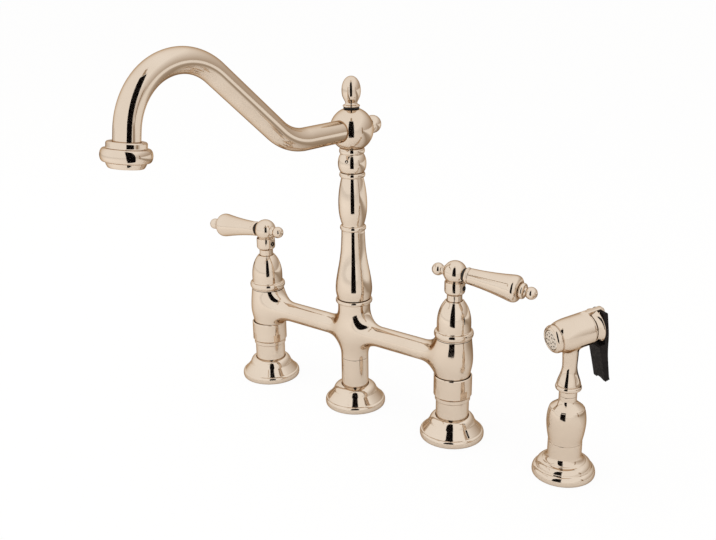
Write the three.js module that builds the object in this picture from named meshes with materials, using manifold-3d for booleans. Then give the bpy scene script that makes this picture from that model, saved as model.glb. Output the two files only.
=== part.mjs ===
// Bridge kitchen faucet with a side sprayer. Millimetres, +Z up. The origin lies on the deck surface under the
// middle column, +X runs along the bridge to the right-hand valve and -Y is the front, where the spout points.
import * as THREE from 'three';
import { mergeVertices } from 'three/addons/utils/BufferGeometryUtils.js';
import Module from 'manifold-3d';

const wasm = await Module();
wasm.setup();

// ---------------------------------------------------------------- driving dimensions

const gap = 0.3;                    // between pieces that touch or slide on each other
const valveSpread = 203.2;          // between the two valve centres, 8 inches
const sprayerPitch = 101.6;         // from the right-hand valve to the sprayer, 4 inches
const deckThickness = 30;

const flange = { footRadius: 26.5, height: 19, lip: 1.3, rimHeight: 6.4, coneRadius: 24.6, shoulderRadius: 19.2,
  shoulderRise: 13, wall: 2.6 };
const leg = { radius: 13.6, bore: 6.5, exposed: 14.4, collarHeight: 3.2, collarLip: 0.7, skirt: 9.8 };
const shank = { radius: 10.45, length: 55, middleRadius: 8, middleBore: 4 };    // 1/2 inch pipe on the outer legs
const clampWasher = { radius: 25, height: 2.4 };
const lockNut = { wall: 6.5, height: 6.4 };
const unionNut = { wall: 1.1, height: 21.8, chamfer: 4.4 };
const notch = { width: 6.5, height: 7.5, depth: 0.7, count: 4, turn: -22 };

const valveBody = { bellyRadius: 16, bellyRise: 18.4, topRadius: 14.6, height: 32, port: 6.5, bore: 10.9,
  boreFloor: 4 };
const bridge = { armRadius: 8.85, armRise: 14, flareLength: 23, bore: 5 };
const hub = { legRadius: 11.9, below: 24.3, above: 26.8, bellyRadius: 16.8, ringRadius: 15.8, ringHeight: 3.4 };
const legPin = { wall: 4, height: 8 };                      // spigot of the middle leg inside the hub
const bonnet = { beadRadius: 16, beadHeight: 6.8, barrelRadius: 13.75, barrelHeight: 8, domeHeight: 17,
  topLip: 0.85, wall: 2 };
const cartridge = { headRadius: 9.4, headRise: 12, shoulder: 3, stemDepth: 20, bore: 4 };
const stem = { radius: 4, flatDepth: 0.7, grip: 16 };

const handle = { neckWall: 2.15, neckHeight: 6, cupRadius: 8.3, cupHeight: 10.4, ballRadius: 9.5, ballRise: 7 };
const handleTurn = { left: 0, right: 4 };                   // degrees to the back of the bridge's line
const lever = { droop: 4.5, rootRadius: 6.5, rootLength: 3.6, barrelLength: 42.5, bellyRadius: 10.7,
  shoulder: 4.6, endRadius: 6.2, spigotRadius: 2.4, spigotReach: 2 };
const leverRing = { radius: 5.6, thickness: 1.6 };
const leverTip = { ringRadius: 6.3, ringLength: 3.6, neckRadius: 3.3, neckLength: 1.6, ballRadius: 4.9 };
const handleKnob = { reach: 15.2, ballRadius: 5.1, neckRadius: 3.3, pinRadius: 2.3, pinReach: 5 };
const setScrew = { radius: 2.1, length: 4.4 };

const column = { footRadius: 14.6, bellyRadius: 15.7, bellyRise: 8.6, waistRadius: 10.1, lowerHeight: 60.7,
  lowerRingRadius: 11, ringHeight: 4.2, vaseFoot: 9.6, vaseBelly: 12.1, vaseRise: 19, vaseHeight: 41.2,
  upperRingRadius: 10.8, bore: 7.8 };
const post = { radius: 7.6, wall: 2, height: 22, lip: 1.8 };
const bush = { wall: 1.1 };
const diverter = { seatRise: 72, seatHeight: 4, seatBore: 2.6, pistonRadius: 4.6, discHeight: 4, guideRadius: 2.4,
  guideHeight: 6, springRadius: 3.9, springWire: 0.8, springTurns: 5 };

const spoutBase = { bulbRadius: 11.85, bulbHeight: 15.4, footRadius: 10.1, collarRadius: 10.6, collarHeight: 4.8,
  neckRadius: 9.6 };
const spoutScrew = { radius: 1.5, rise: 10.2, turn: -75 };
const spoutHub = { radius: 18, rise: 14.6, bore: 8.2 };
const spout = { tubeRadius: 9, wall: 1.3, socket: 8, stubAngle: 1.35, stubLength: 58.3, riseBend: 53.6,
  riseAngle: 39.5, riseLength: 75, crownBend: 51, crownTurn: 59.5, noseBend: 44, outletTilt: 8, outletLength: 9.2 };
const aerator = { collarRadius: 13.1, collarHeight: 4.2, grip: 2, beadRadius: 16.7, beadHeight: 8.8,
  cupRadius: 13.3, cupHeight: 3.8, lipRadius: 11.6, wall: 1.8 };
const aeratorInsert = { recess: 1.4, holeRadius: 1.3, circleRadius: 5.4, holes: 6 };
const gasket = { radius: 6.5, height: 1.2 };
const finial = { baseRadius: 7, baseHeight: 1.4, waistRadius: 4.9, waistRise: 3.4, bodyRadius: 7.8, bodyRise: 12.6,
  height: 24.6, studRadius: 2.5, studLength: 5 };
const backKnob = { radius: 7.5, reach: 28, neckRadius: 4.2, pinRadius: 3.2, pinReach: 5 };

const holder = { footRadius: 23.9, height: 19.4, neckRadius: 13.7, beadRadius: 21, beadRise: 9.6, rimHeight: 3,
  bore: 10.2, shankRadius: 13.6, shankLength: 48 };
const coupling = { radius: 7.4, height: 30, hoseBore: 4, lipRadius: 9.6, lipHeight: 2.4, tailWall: 1.8,
  tailHeight: 6 };
const grip = { footRadius: 12.9, bellyRadius: 15, bellyRise: 27, shoulderRadius: 13.5, shoulderRise: 33.4,
  edgeRadius: 12.4, edgeRise: 36, coneRadius: 10.2, coneRise: 37.8, neckRadius: 6.8, neckRise: 41.6,
  height: 46.4 };
const sprayStem = { footRadius: 6.8, ringRadius: 9.9, ringRise: 4.7, ringHeight: 3.8, bellRadius: 9.2,
  bellHeight: 15.6, waistRadius: 5.6, topRadius: 5.9 };
const head = { turn: -29.3, tilt: 8, rise: 116.2, front: 13.2, rear: 15.2, frontRadius: 10.6, rearRadius: 12.6,
  noseRadius: 10.7, noseLength: 5.5, mouthRadius: 7.6, chamberRadius: 8.6, throatRadius: 6.2, seat: 6.6,
  stemWall: 3, grooveDepth: 1.8, grooveWidth: 1.5 };
const cap = { radius: 13.1, frontRadius: 11.4, length: 5.4 };
const rose = { thickness: 2, recess: 0.5, holeRadius: 0.6, innerHoles: 5, innerCircle: 3, outerHoles: 9,
  outerCircle: 5.6 };
const hinge = { width: 5, proud: 0.9, height: 3.3, length: 13, setback: 4.6, drop: 5.1, eyeRadius: 2.8,
  pinRadius: 1.3 };
const trigger = { width: 14, thickness: 3.8, crown: 2.5, drop: 54, reach: 5, footReach: 2, lean: 1.9,
  leanStart: 12, leanEnd: 36, footKick: 0.6, notchRadius: 4, notchDepth: 2 };
const plunger = { radius: 2.6, tipRadius: 1.6, discLength: 2, stroke: 0.8 };
const plungerSpring = { wire: 0.8, turns: 3 };

// ---------------------------------------------------------------- shape helpers

/** Joins the shared corners of a geometry, drops its empty triangles and turns its faces outwards. */
function closed(geometry) {
  const bare = geometry.clone();
  bare.deleteAttribute('normal');
  bare.deleteAttribute('uv');
  const merged = mergeVertices(bare, 1e-4);
  const point = (i) => new THREE.Vector3().fromBufferAttribute(merged.attributes.position, i);
  const kept = [];
  let volume = 0;
  for (let i = 0; i < merged.index.count; i += 3) {
    const [a, b, c] = [0, 1, 2].map((k) => merged.index.getX(i + k));
    if (a === b || b === c || a === c) continue;
    kept.push(a, b, c);
    volume += point(a).dot(point(b).cross(point(c)));
  }
  if (volume < 0) kept.reverse();
  merged.setIndex(kept);
  return merged;
}

/** A boolean solid from a closed geometry. */
function solid(geometry) {
  const mesh = closed(geometry);
  return new wasm.Manifold(new wasm.Mesh({
    numProp: 3,
    vertProperties: Float32Array.from(mesh.attributes.position.array),
    triVerts: Uint32Array.from(mesh.index.array),
  }));
}

/** The geometry of a boolean solid. */
function surface(body) {
  const mesh = body.getMesh();
  const geometry = new THREE.BufferGeometry();
  geometry.setAttribute('position', new THREE.BufferAttribute(new Float32Array(mesh.vertProperties), 3));
  geometry.setIndex(new THREE.BufferAttribute(new Uint32Array(mesh.triVerts), 1));
  return geometry;
}

const joined = (...parts) => parts.map(solid).reduce((sum, next) => sum.add(next));
const cut = (body, ...tools) => surface(tools.map(solid).reduce((rest, tool) => rest.subtract(tool), body));

/** Points of an outline drawn by path commands; each curve gets the same number of steps. */
function outline(start, draw, steps = 3) {
  const path = new THREE.Path();
  path.moveTo(...start);
  draw(path);
  return path.getPoints(steps).map((p) => [p.x, p.y]);
}

/** How many flats stand for a full turn at a radius. */
function sidesFor(radius) {
  if (radius > 7) return 14;
  return radius > 4.5 ? 10 : 8;
}

/** A piece turned on the lathe about +Z from [radius, height] points. */
function turned(points) {
  const widest = Math.max(...points.map((p) => p[0]));
  return new THREE.LatheGeometry(points.map((p) => new THREE.Vector2(...p)), sidesFor(widest)).rotateX(Math.PI / 2);
}

const rod = (radius, from, to) => turned([[0, from], [radius, from], [radius, to], [0, to]]);
const tube = (outer, inner, from, to) =>
  turned([[inner, from], [outer, from], [outer, to], [inner, to], [inner, from]]);
const block = (x, y, z, cx, cy, cz) => new THREE.BoxGeometry(x, y, z).translate(cx, cy, cz);
const alongX = (geometry) => geometry.rotateY(Math.PI / 2);
const radians = THREE.MathUtils.degToRad;
const ball = (radius, z) => turned(outline([0, z - radius], (p) =>
  p.absarc(0, z, radius, -Math.PI / 2, Math.PI / 2), 4));

/** How far from its centre a ball has a flat seat of a given radius. */
const flatOn = (ballRadius, seatRadius) => Math.sqrt(ballRadius ** 2 - seatRadius ** 2);

/** Adds the half round of a bead to a profile, between two heights. */
function bead(path, inner, outer, from, to) {
  path.absellipse(inner, (from + to) / 2, outer - inner, (to - from) / 2, -Math.PI / 2, Math.PI / 2, false, 0);
}

/** A flat shape in the XZ plane, given as [x, z], with its thickness along Y and centred on it. */
function plateAcross(shape, thickness) {
  return new THREE.ExtrudeGeometry(shape, { depth: thickness, bevelEnabled: false, curveSegments: 3 })
    .translate(0, 0, -thickness / 2).rotateX(Math.PI / 2);
}

/** One open coil of round wire standing on +Z. */
class Coil extends THREE.Curve {
  constructor(radius, from, to, turns) {
    super();
    Object.assign(this, { radius, from, to, turns });
  }

  getPoint(t, target = new THREE.Vector3()) {
    const angle = 2 * Math.PI * this.turns * t;
    return target.set(this.radius * Math.cos(angle), this.radius * Math.sin(angle),
      THREE.MathUtils.lerp(this.from, this.to, t));
  }
}

/** A compression spring between two heights. */
function spring(radius, wire, from, to, turns) {
  const section = new THREE.Shape(new THREE.Path().absarc(0, 0, wire / 2, 0, 2 * Math.PI).getSpacedPoints(4));
  return new THREE.ExtrudeGeometry(section,
    { extrudePath: new Coil(radius, from + wire / 2 + gap, to - wire / 2 - gap, turns), steps: turns * 6 });
}

// ---------------------------------------------------------------- places worked out from the dimensions

const valveX = valveSpread / 2;
const sprayerX = valveX + sprayerPitch;
const underDeck = -deckThickness;

const flangeNeck = leg.radius + flange.lip;
const sleeveFoot = flange.height - leg.skirt;
const nutFoot = flange.height + leg.exposed;
const nutTop = nutFoot + unionNut.height;
const nutInner = leg.radius + leg.collarLip + gap;
const nutRadius = nutInner + unionNut.wall;
const legCollarFoot = nutFoot + unionNut.chamfer + gap;
const legCollarTop = legCollarFoot + leg.collarHeight;

const bodyFoot = nutTop + gap;
const bodyFootRadius = nutInner - gap;
const bodyTop = bodyFoot + valveBody.height;
const spigotFoot = legCollarTop + gap;
const armZ = bodyFoot + bridge.armRise;
const bonnetFoot = bodyTop + gap;
const bonnetBeadTop = bonnetFoot + bonnet.beadHeight;
const bonnetTop = bonnetBeadTop + bonnet.barrelHeight + bonnet.domeHeight;
const cartridgeTop = bonnetBeadTop + cartridge.headRise;
const stemBore = stem.radius + gap;

const handleNeck = stem.radius + handle.neckWall;
const cupFoot = bonnetTop + handle.neckHeight;
const cupTop = cupFoot + handle.cupHeight;
const screwZ = cupFoot + handle.cupHeight / 2;
const ballZ = cupTop + handle.ballRise;
const droopAngle = radians(lever.droop);
const ringSeat = flatOn(handle.ballRadius, leverRing.radius);
const leverFoot = ringSeat + gap + leverRing.thickness + gap;
const barrelFoot = leverFoot + lever.rootLength;
const barrelEnd = barrelFoot + lever.barrelLength;
const knobSeat = flatOn(handle.ballRadius, handleKnob.neckRadius);

const hubFoot = armZ - hub.below;
const hubRingZ = armZ + hub.above;
const hubTop = hubRingZ + hub.ringHeight;
const legPinRadius = shank.middleBore + legPin.wall;
const columnFoot = hubTop + gap;
const lowerRingZ = columnFoot + column.lowerHeight;
const vaseZ = lowerRingZ + column.ringHeight;
const upperRingZ = vaseZ + column.vaseHeight;
const columnTop = upperRingZ + column.ringHeight;
const postTop = columnTop + post.height;
const postBore = post.radius - post.wall;
const seatZ = columnFoot + diverter.seatRise;
const pistonZ = seatZ + diverter.seatHeight + gap;
const bushRadius = post.radius + gap + bush.wall;

const baseFoot = columnTop + gap;
const collarZ = baseFoot + spoutBase.bulbHeight;
const baseTop = collarZ + spoutBase.collarHeight;
const hubFootZ = baseTop + gap;
const hubZ = hubFootZ + spoutHub.rise;
const finialSeat = hubZ + flatOn(spoutHub.radius, finial.baseRadius);
const gasketFoot = finialSeat + gap;
const finialFoot = gasketFoot + gasket.height + gap;
const backSeat = flatOn(spoutHub.radius, backKnob.neckRadius);

const couplingFoot = holder.height - coupling.height;
const gripFoot = holder.height + gap;
const gripTop = gripFoot + grip.height;
const sprayStemFoot = gripTop + gap;
const sprayStemTop = head.rise - head.throatRadius - head.stemWall;

// In the head's own frame, +X to the nozzle.
const capFront = -head.rear - gap;
const capBack = capFront - cap.length;
const hingeTop = head.rearRadius + hinge.proud;
const hingeFoot = hingeTop - hinge.height;
const pinX = capBack - hinge.setback;
const pinZ = hingeTop - hinge.drop;
const triggerFront = pinX + trigger.thickness / 2;
const triggerBack = pinX - trigger.thickness / 2;
const discBack = capFront + gap;
const discFront = discBack + plunger.discLength;
const discRadius = head.chamberRadius - 0.8;
const springSeatRadius = (head.throatRadius + head.chamberRadius) / 2;

// ---------------------------------------------------------------- materials

const finish = (name, color, roughness, metalness) =>
  Object.assign(new THREE.MeshStandardMaterial({ color, roughness, metalness }), { name });

const polishedNickel = () => finish('polished_nickel', 0xdcc6b0, 0.08, 1);
const rawBrass = () => finish('raw_brass', 0xb99a55, 0.35, 1);
const springSteel = () => finish('spring_steel', 0x9a9a9a, 0.3, 1);
const blackRubber = () => finish('black_rubber', 0x17130f, 0.7, 0);
const blackPlastic = () => finish('black_plastic', 0x231d1d, 0.55, 0);
const blackSteel = () => finish('black_steel', 0x1c1816, 0.45, 1);
const whiteAcetal = () => finish('white_acetal', 0xe8e6df, 0.5, 0);

const faucet = new THREE.Group();

/** Adds one named piece at a place in a group. */
function add(name, geometry, material, place = [0, 0, 0], group = faucet) {
  const mesh = new THREE.Mesh(closed(geometry), material);
  mesh.name = name;
  mesh.position.set(...place);
  group.add(mesh);
}

/** Does the same work for the left and the right valve. */
function bothValves(build) {
  build('left', -valveX);
  build('right', valveX);
}

// ---------------------------------------------------------------- flanges, legs and deck fixings

/** Hollow bell foot that drops over a leg and stands on the deck: a rolled rim, a cone and a rounded shoulder. */
function flangeBell(neckBore) {
  const inside = flange.footRadius - 1.6 * flange.wall;
  return turned(outline([inside, 0], (p) => {
    p.lineTo(flange.footRadius - 1.6, 0);
    p.quadraticCurveTo(flange.footRadius, 0, flange.footRadius, flange.rimHeight / 2);
    p.quadraticCurveTo(flange.footRadius, flange.rimHeight - 0.2, flange.coneRadius, flange.rimHeight);
    p.quadraticCurveTo(flange.shoulderRadius + 2.2, flange.rimHeight + 4, flange.shoulderRadius, flange.shoulderRise);
    p.quadraticCurveTo(flange.shoulderRadius - 1, flange.height - 0.8, flangeNeck, flange.height);
    p.lineTo(neckBore, flange.height);
    p.lineTo(neckBore, flange.height - 4);
    p.lineTo(flange.shoulderRadius - flange.wall, flange.shoulderRise - flange.wall);
    p.lineTo(inside, flange.rimHeight - 2);
    p.lineTo(inside, 0);
  }));
}

bothValves((side, x) => add(`${side}_flange`, flangeBell(leg.radius + gap), polishedNickel(), [x, 0, 0]));
add('centre_flange', flangeBell(hub.legRadius + gap), polishedNickel());

/** Outline of a leg: a threaded shank with a chamfered end, then the round sleeve that shows above the deck. */
function legPoints(bore, threadRadius, sleeveRadius) {
  return [
    [bore, -shank.length], [threadRadius - 1, -shank.length], [threadRadius, 1 - shank.length],
    [threadRadius, sleeveFoot - 1], [sleeveRadius, sleeveFoot],
  ];
}

/** Supply leg, with a collar on top that the union nut holds. */
const supplyLeg = () => turned([
  ...legPoints(leg.bore, shank.radius, leg.radius), [leg.radius, legCollarFoot],
  [leg.radius + leg.collarLip, legCollarFoot], [leg.radius + leg.collarLip, legCollarTop],
  [leg.bore, legCollarTop], [leg.bore, -shank.length],
]);

/** Middle leg: it holds the bridge down and leads water back to the sprayer's hose. */
function middleLeg() {
  const top = hubFoot - gap;
  return turned([
    ...legPoints(shank.middleBore, shank.middleRadius, hub.legRadius), [hub.legRadius, top],
    [legPinRadius, top], [legPinRadius, top + legPin.height], [shank.middleBore, top + legPin.height],
    [shank.middleBore, -shank.length],
  ]);
}

bothValves((side, x) => add(`${side}_leg`, supplyLeg(), polishedNickel(), [x, 0, 0]));
add('centre_leg', middleLeg(), polishedNickel());

/** Hexagon nut with a round hole, standing on +Z. */
function hexNut(acrossFlats, hole, height) {
  const corner = acrossFlats / Math.sqrt(3);
  const shape = new THREE.Shape(Array.from({ length: 6 }, (_, k) =>
    new THREE.Vector2(corner * Math.cos((k * Math.PI) / 3), corner * Math.sin((k * Math.PI) / 3))));
  shape.holes.push(new THREE.Path().absarc(0, 0, hole, 0, 2 * Math.PI, true));
  return new THREE.ExtrudeGeometry(shape, { depth: height, bevelEnabled: false, curveSegments: 8 });
}

/** Clamping washer and lock nut on a shank, under the deck. */
function deckFixing(name, x, shankRadius) {
  const washerFoot = underDeck - clampWasher.height;
  const hole = shankRadius + gap;
  add(`${name}_deck_washer`, tube(clampWasher.radius, hole, washerFoot, underDeck), blackRubber(), [x, 0, 0]);
  add(`${name}_lock_nut`, hexNut(2 * (shankRadius + lockNut.wall), hole, lockNut.height), rawBrass(),
    [x, 0, washerFoot - gap - lockNut.height]);
}

bothValves((side, x) => deckFixing(side, x, shank.radius));
deckFixing('centre', 0, shank.middleRadius);

/** Union nut with spanner notches in its lower edge. */
function notchedNut() {
  const legBore = leg.radius + gap;
  const chamferTop = nutFoot + unionNut.chamfer;
  const body = turned([
    [legBore, nutFoot], [legBore + 0.6, nutFoot], [nutRadius, chamferTop], [nutRadius, nutTop - 0.6],
    [nutRadius - 0.6, nutTop], [nutInner, nutTop], [nutInner, chamferTop], [legBore, chamferTop - 0.8],
    [legBore, nutFoot],
  ]);
  const notches = Array.from({ length: notch.count }, (_, k) =>
    block(2 * notch.depth, notch.width, notch.height, nutRadius, 0, chamferTop + notch.height / 2 - 0.6)
      .rotateZ((2 * Math.PI * k) / notch.count + radians(notch.turn)));
  return cut(solid(body), ...notches);
}

bothValves((side, x) => add(`${side}_union_nut`, notchedNut(), polishedNickel(), [x, 0, 0]));

// ---------------------------------------------------------------- bridge casting

/** Barrel-shaped valve body with its spigot below. */
const valveBarrel = () => turned(outline([0, spigotFoot], (p) => {
  p.lineTo(bodyFootRadius, spigotFoot);
  p.lineTo(bodyFootRadius, bodyFoot + 3);
  p.quadraticCurveTo(valveBody.bellyRadius, bodyFoot + valveBody.bellyRise / 2,
    valveBody.bellyRadius, bodyFoot + valveBody.bellyRise);
  p.quadraticCurveTo(valveBody.bellyRadius, bodyTop - 4, valveBody.topRadius, bodyTop);
  p.lineTo(0, bodyTop);
}));

/** Middle hub: a waisted cross fitting with a flat ring on top. */
const middleHub = () => turned(outline([0, hubFoot], (p) => {
  p.lineTo(hub.legRadius, hubFoot);
  p.quadraticCurveTo(hub.legRadius + 0.6, armZ - 14, hub.bellyRadius, armZ - 4);
  p.quadraticCurveTo(hub.bellyRadius + 1, armZ + 6, hub.ringRadius - 1.6, hubRingZ - 4);
  p.lineTo(hub.ringRadius - 1.8, hubRingZ);
  p.quadraticCurveTo(hub.ringRadius, hubRingZ, hub.ringRadius, hubRingZ + hub.ringHeight / 2);
  p.quadraticCurveTo(hub.ringRadius, hubTop, hub.ringRadius - 0.8, hubTop);
  p.lineTo(0, hubTop);
}));

/** One arm from the hub's middle to a valve body's middle, flared like a trumpet at both ends. */
function bridgeArm(sign) {
  const end = valveX - 4;
  const hubFlare = hub.bellyRadius - 3;
  const bodyFlare = bodyFootRadius - 0.8;
  const hubFlareAt = hub.bellyRadius - 5;
  const bodyFlareAt = valveX - valveBody.bellyRadius + 5;
  const arm = turned(outline([0, 4], (p) => {
    p.lineTo(hubFlare, 4);
    p.lineTo(hubFlare, hubFlareAt);
    p.quadraticCurveTo(bridge.armRadius, hubFlareAt + 3, bridge.armRadius, hubFlareAt + bridge.flareLength);
    p.lineTo(bridge.armRadius, bodyFlareAt - bridge.flareLength);
    p.quadraticCurveTo(bridge.armRadius, bodyFlareAt - 3, bodyFlare, bodyFlareAt);
    p.lineTo(bodyFlare, end);
    p.lineTo(0, end);
  }));
  return alongX(arm).scale(sign, 1, 1).translate(0, 0, armZ);
}

const casting = joined(middleHub(), bridgeArm(-1), bridgeArm(1),
  valveBarrel().translate(-valveX, 0, 0), valveBarrel().translate(valveX, 0, 0));
const valveBores = [-valveX, valveX].flatMap((x) => [
  rod(valveBody.bore, bodyFoot + valveBody.boreFloor, bodyTop + 1).translate(x, 0, 0),
  rod(valveBody.port, spigotFoot - 1, bodyTop).translate(x, 0, 0),
]);
add('bridge_body', cut(casting, ...valveBores,
  rod(legPinRadius + gap, hubFoot - 1, hubTop + 1),
  alongX(rod(bridge.bore, -valveX, valveX)).translate(0, 0, armZ)), polishedNickel());

// ---------------------------------------------------------------- valves

/** Bell-shaped bonnet: a bead, a short barrel and a dome round the handle's neck. */
function bonnetShell() {
  const domeFoot = bonnetBeadTop + bonnet.barrelHeight;
  const neckBore = handleNeck + gap;
  const topRadius = neckBore + bonnet.topLip;
  const inside = bonnet.barrelRadius - bonnet.wall;
  return turned(outline([inside, bonnetFoot], (p) => {
    p.lineTo(bonnet.barrelRadius, bonnetFoot);
    bead(p, bonnet.barrelRadius, bonnet.beadRadius, bonnetFoot, bonnetBeadTop);
    p.lineTo(bonnet.barrelRadius, domeFoot);
    p.bezierCurveTo(bonnet.barrelRadius - 0.2, domeFoot + bonnet.domeHeight * 0.42,
      topRadius + 3.6, bonnetTop - 4.2, topRadius, bonnetTop);
    p.lineTo(neckBore, bonnetTop);
    p.lineTo(neckBore, bonnetTop - 3);
    p.lineTo(inside, domeFoot + 2);
    p.lineTo(inside, bonnetFoot);
  }));
}

/** Quarter-turn valve cartridge: it stands in the valve body, with its head in the bonnet. */
function cartridgeShell() {
  const foot = bodyFoot + valveBody.boreFloor + gap;
  const shoulderZ = bodyTop - cartridge.shoulder;
  const stemFloor = cartridgeTop - cartridge.stemDepth;
  return turned([
    [cartridge.bore, foot], [valveBody.bore - gap, foot], [valveBody.bore - gap, shoulderZ],
    [cartridge.headRadius, shoulderZ + 1], [cartridge.headRadius, cartridgeTop], [stemBore, cartridgeTop],
    [stemBore, stemFloor], [cartridge.bore, stemFloor], [cartridge.bore, foot],
  ]);
}

/** Turning stem with a flat, from the cartridge up into the handle. */
function turningStem() {
  const top = cupFoot + stem.grip / 2;
  const side = 3 * stem.radius;
  const flat = block(side, side, stem.grip, stem.radius - stem.flatDepth + side / 2, 0, top - stem.grip / 2 + 1);
  return cut(solid(rod(stem.radius, cartridgeTop - cartridge.stemDepth + gap, top)), flat);
}

bothValves((side, x) => {
  add(`${side}_bonnet`, bonnetShell(), polishedNickel(), [x, 0, 0]);
  add(`${side}_cartridge`, cartridgeShell(), rawBrass(), [x, 0, 0]);
});

// ---------------------------------------------------------------- handles

/** Handle hub: neck, cup and ball in one, bored for the stem, the lever, the knob and the set screw. */
function handleHub(screwSide) {
  const neckFoot = bonnetTop - 2.6;
  const ballCut = flatOn(handle.ballRadius, handle.ballRise) + 0.4;
  const body = joined(turned(outline([0, neckFoot], (p) => {
    p.lineTo(handleNeck, neckFoot);
    p.lineTo(handleNeck, cupFoot);
    p.quadraticCurveTo(handle.cupRadius, cupFoot, handle.cupRadius, cupFoot + 3);
    p.lineTo(handle.cupRadius, cupTop - 1.2);
    p.quadraticCurveTo(handle.cupRadius, cupTop, ballCut, cupTop);
    p.lineTo(0, cupTop);
  })), ball(handle.ballRadius, ballZ));
  const past = handle.ballRadius + 1;
  const leverHoles = [
    rod(lever.spigotRadius + gap, lever.spigotReach, past),
    rod(leverRing.radius + gap, ringSeat, past),
  ].map((hole) => alongX(hole).rotateY(droopAngle).translate(0, 0, ballZ));
  const knobHoles = [
    rod(handleKnob.pinRadius + gap, -past, -handleKnob.pinReach),
    rod(handleKnob.neckRadius + gap, -past, -knobSeat),
  ].map((hole) => alongX(hole).translate(0, 0, ballZ));
  return cut(body, ...leverHoles, ...knobHoles,
    rod(stemBore, neckFoot - 1, cupFoot + stem.grip / 2 + gap),
    alongX(rod(setScrew.radius + gap, stem.radius, handle.cupRadius + 2)).scale(screwSide, 1, 1)
      .translate(0, 0, screwZ));
}

/** The other end of the handle: a small ball on a neck, pinned into the hub's ball. */
function counterKnob() {
  const neckTop = handleKnob.reach - flatOn(handleKnob.ballRadius, handleKnob.neckRadius);
  const pinFoot = handleKnob.pinReach + gap;
  return turned(outline([0, pinFoot], (p) => {
    p.lineTo(handleKnob.pinRadius, pinFoot);
    p.lineTo(handleKnob.pinRadius, knobSeat + gap);
    p.lineTo(handleKnob.neckRadius, knobSeat + gap);
    p.lineTo(handleKnob.neckRadius, neckTop);
    p.absarc(0, handleKnob.reach, handleKnob.ballRadius,
      -Math.acos(handleKnob.neckRadius / handleKnob.ballRadius), Math.PI / 2);
  }));
}

/** Lever barrel: a root collar, a long flare and a rounded shoulder, on a spigot that enters the hub. */
function leverBarrel() {
  const spigotEnd = lever.spigotReach + gap;
  return turned(outline([0, spigotEnd], (p) => {
    p.lineTo(lever.spigotRadius, spigotEnd);
    p.lineTo(lever.spigotRadius, leverFoot);
    p.lineTo(lever.rootRadius - 0.6, leverFoot);
    p.quadraticCurveTo(lever.rootRadius + 0.8, leverFoot + lever.rootLength / 2,
      lever.rootRadius - 0.4, barrelFoot);
    p.bezierCurveTo(lever.rootRadius + 0.6, barrelFoot + lever.barrelLength * 0.35,
      lever.bellyRadius - 1.6, barrelEnd - lever.shoulder * 3, lever.bellyRadius, barrelEnd - lever.shoulder);
    p.bezierCurveTo(lever.bellyRadius + 0.4, barrelEnd - 1.6, lever.endRadius + 3, barrelEnd,
      lever.endRadius, barrelEnd);
    p.lineTo(0, barrelEnd);
  }));
}

/** Turned end of the lever: a ring, a neck and a small ball. */
function leverEnd() {
  const foot = barrelEnd + gap;
  const neckFoot = foot + leverTip.ringLength;
  const neckTop = neckFoot + leverTip.neckLength;
  const ballAt = neckTop + flatOn(leverTip.ballRadius, leverTip.neckRadius);
  return turned(outline([0, foot], (p) => {
    p.lineTo(leverTip.ringRadius - 0.6, foot);
    p.quadraticCurveTo(leverTip.ringRadius + 0.4, foot + leverTip.ringLength / 2,
      leverTip.ringRadius - 1, neckFoot);
    p.lineTo(leverTip.neckRadius, neckFoot);
    p.lineTo(leverTip.neckRadius, neckTop);
    p.absarc(0, ballAt, leverTip.ballRadius,
      -Math.acos(leverTip.neckRadius / leverTip.ballRadius), Math.PI / 2);
  }));
}

/** A whole handle on its valve. In its own frame the lever points along +X; the set screw faces the right. */
function handleOn(side, x, turnAngle, screwSide) {
  const turn = new THREE.Group();
  turn.position.x = x;
  turn.rotation.z = turnAngle;
  faucet.add(turn);
  const onAxis = [0, 0, 0];
  add(`${side}_stem`, turningStem(), rawBrass(), onAxis, turn);
  add(`${side}_handle_hub`, handleHub(screwSide), polishedNickel(), onAxis, turn);
  add(`${side}_handle_knob`, alongX(counterKnob()).scale(-1, 1, 1), polishedNickel(), [0, 0, ballZ], turn);
  const screwFoot = stem.radius + 2 * gap;
  add(`${side}_handle_screw`, alongX(rod(setScrew.radius, screwFoot, screwFoot + setScrew.length))
    .scale(screwSide, 1, 1), blackSteel(), [0, 0, screwZ], turn);
  const droop = new THREE.Group();
  droop.position.z = ballZ;
  droop.rotation.y = droopAngle;
  turn.add(droop);
  const ringFoot = ringSeat + gap;
  add(`${side}_lever_ring`, alongX(tube(leverRing.radius, lever.spigotRadius + gap, ringFoot,
    ringFoot + leverRing.thickness)), blackRubber(), onAxis, droop);
  add(`${side}_lever`, alongX(leverBarrel()), polishedNickel(), onAxis, droop);
  add(`${side}_lever_tip`, alongX(leverEnd()), polishedNickel(), onAxis, droop);
}

handleOn('left', -valveX, Math.PI - radians(handleTurn.left), -1);
handleOn('right', valveX, radians(handleTurn.right), 1);

// ---------------------------------------------------------------- middle column

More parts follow.
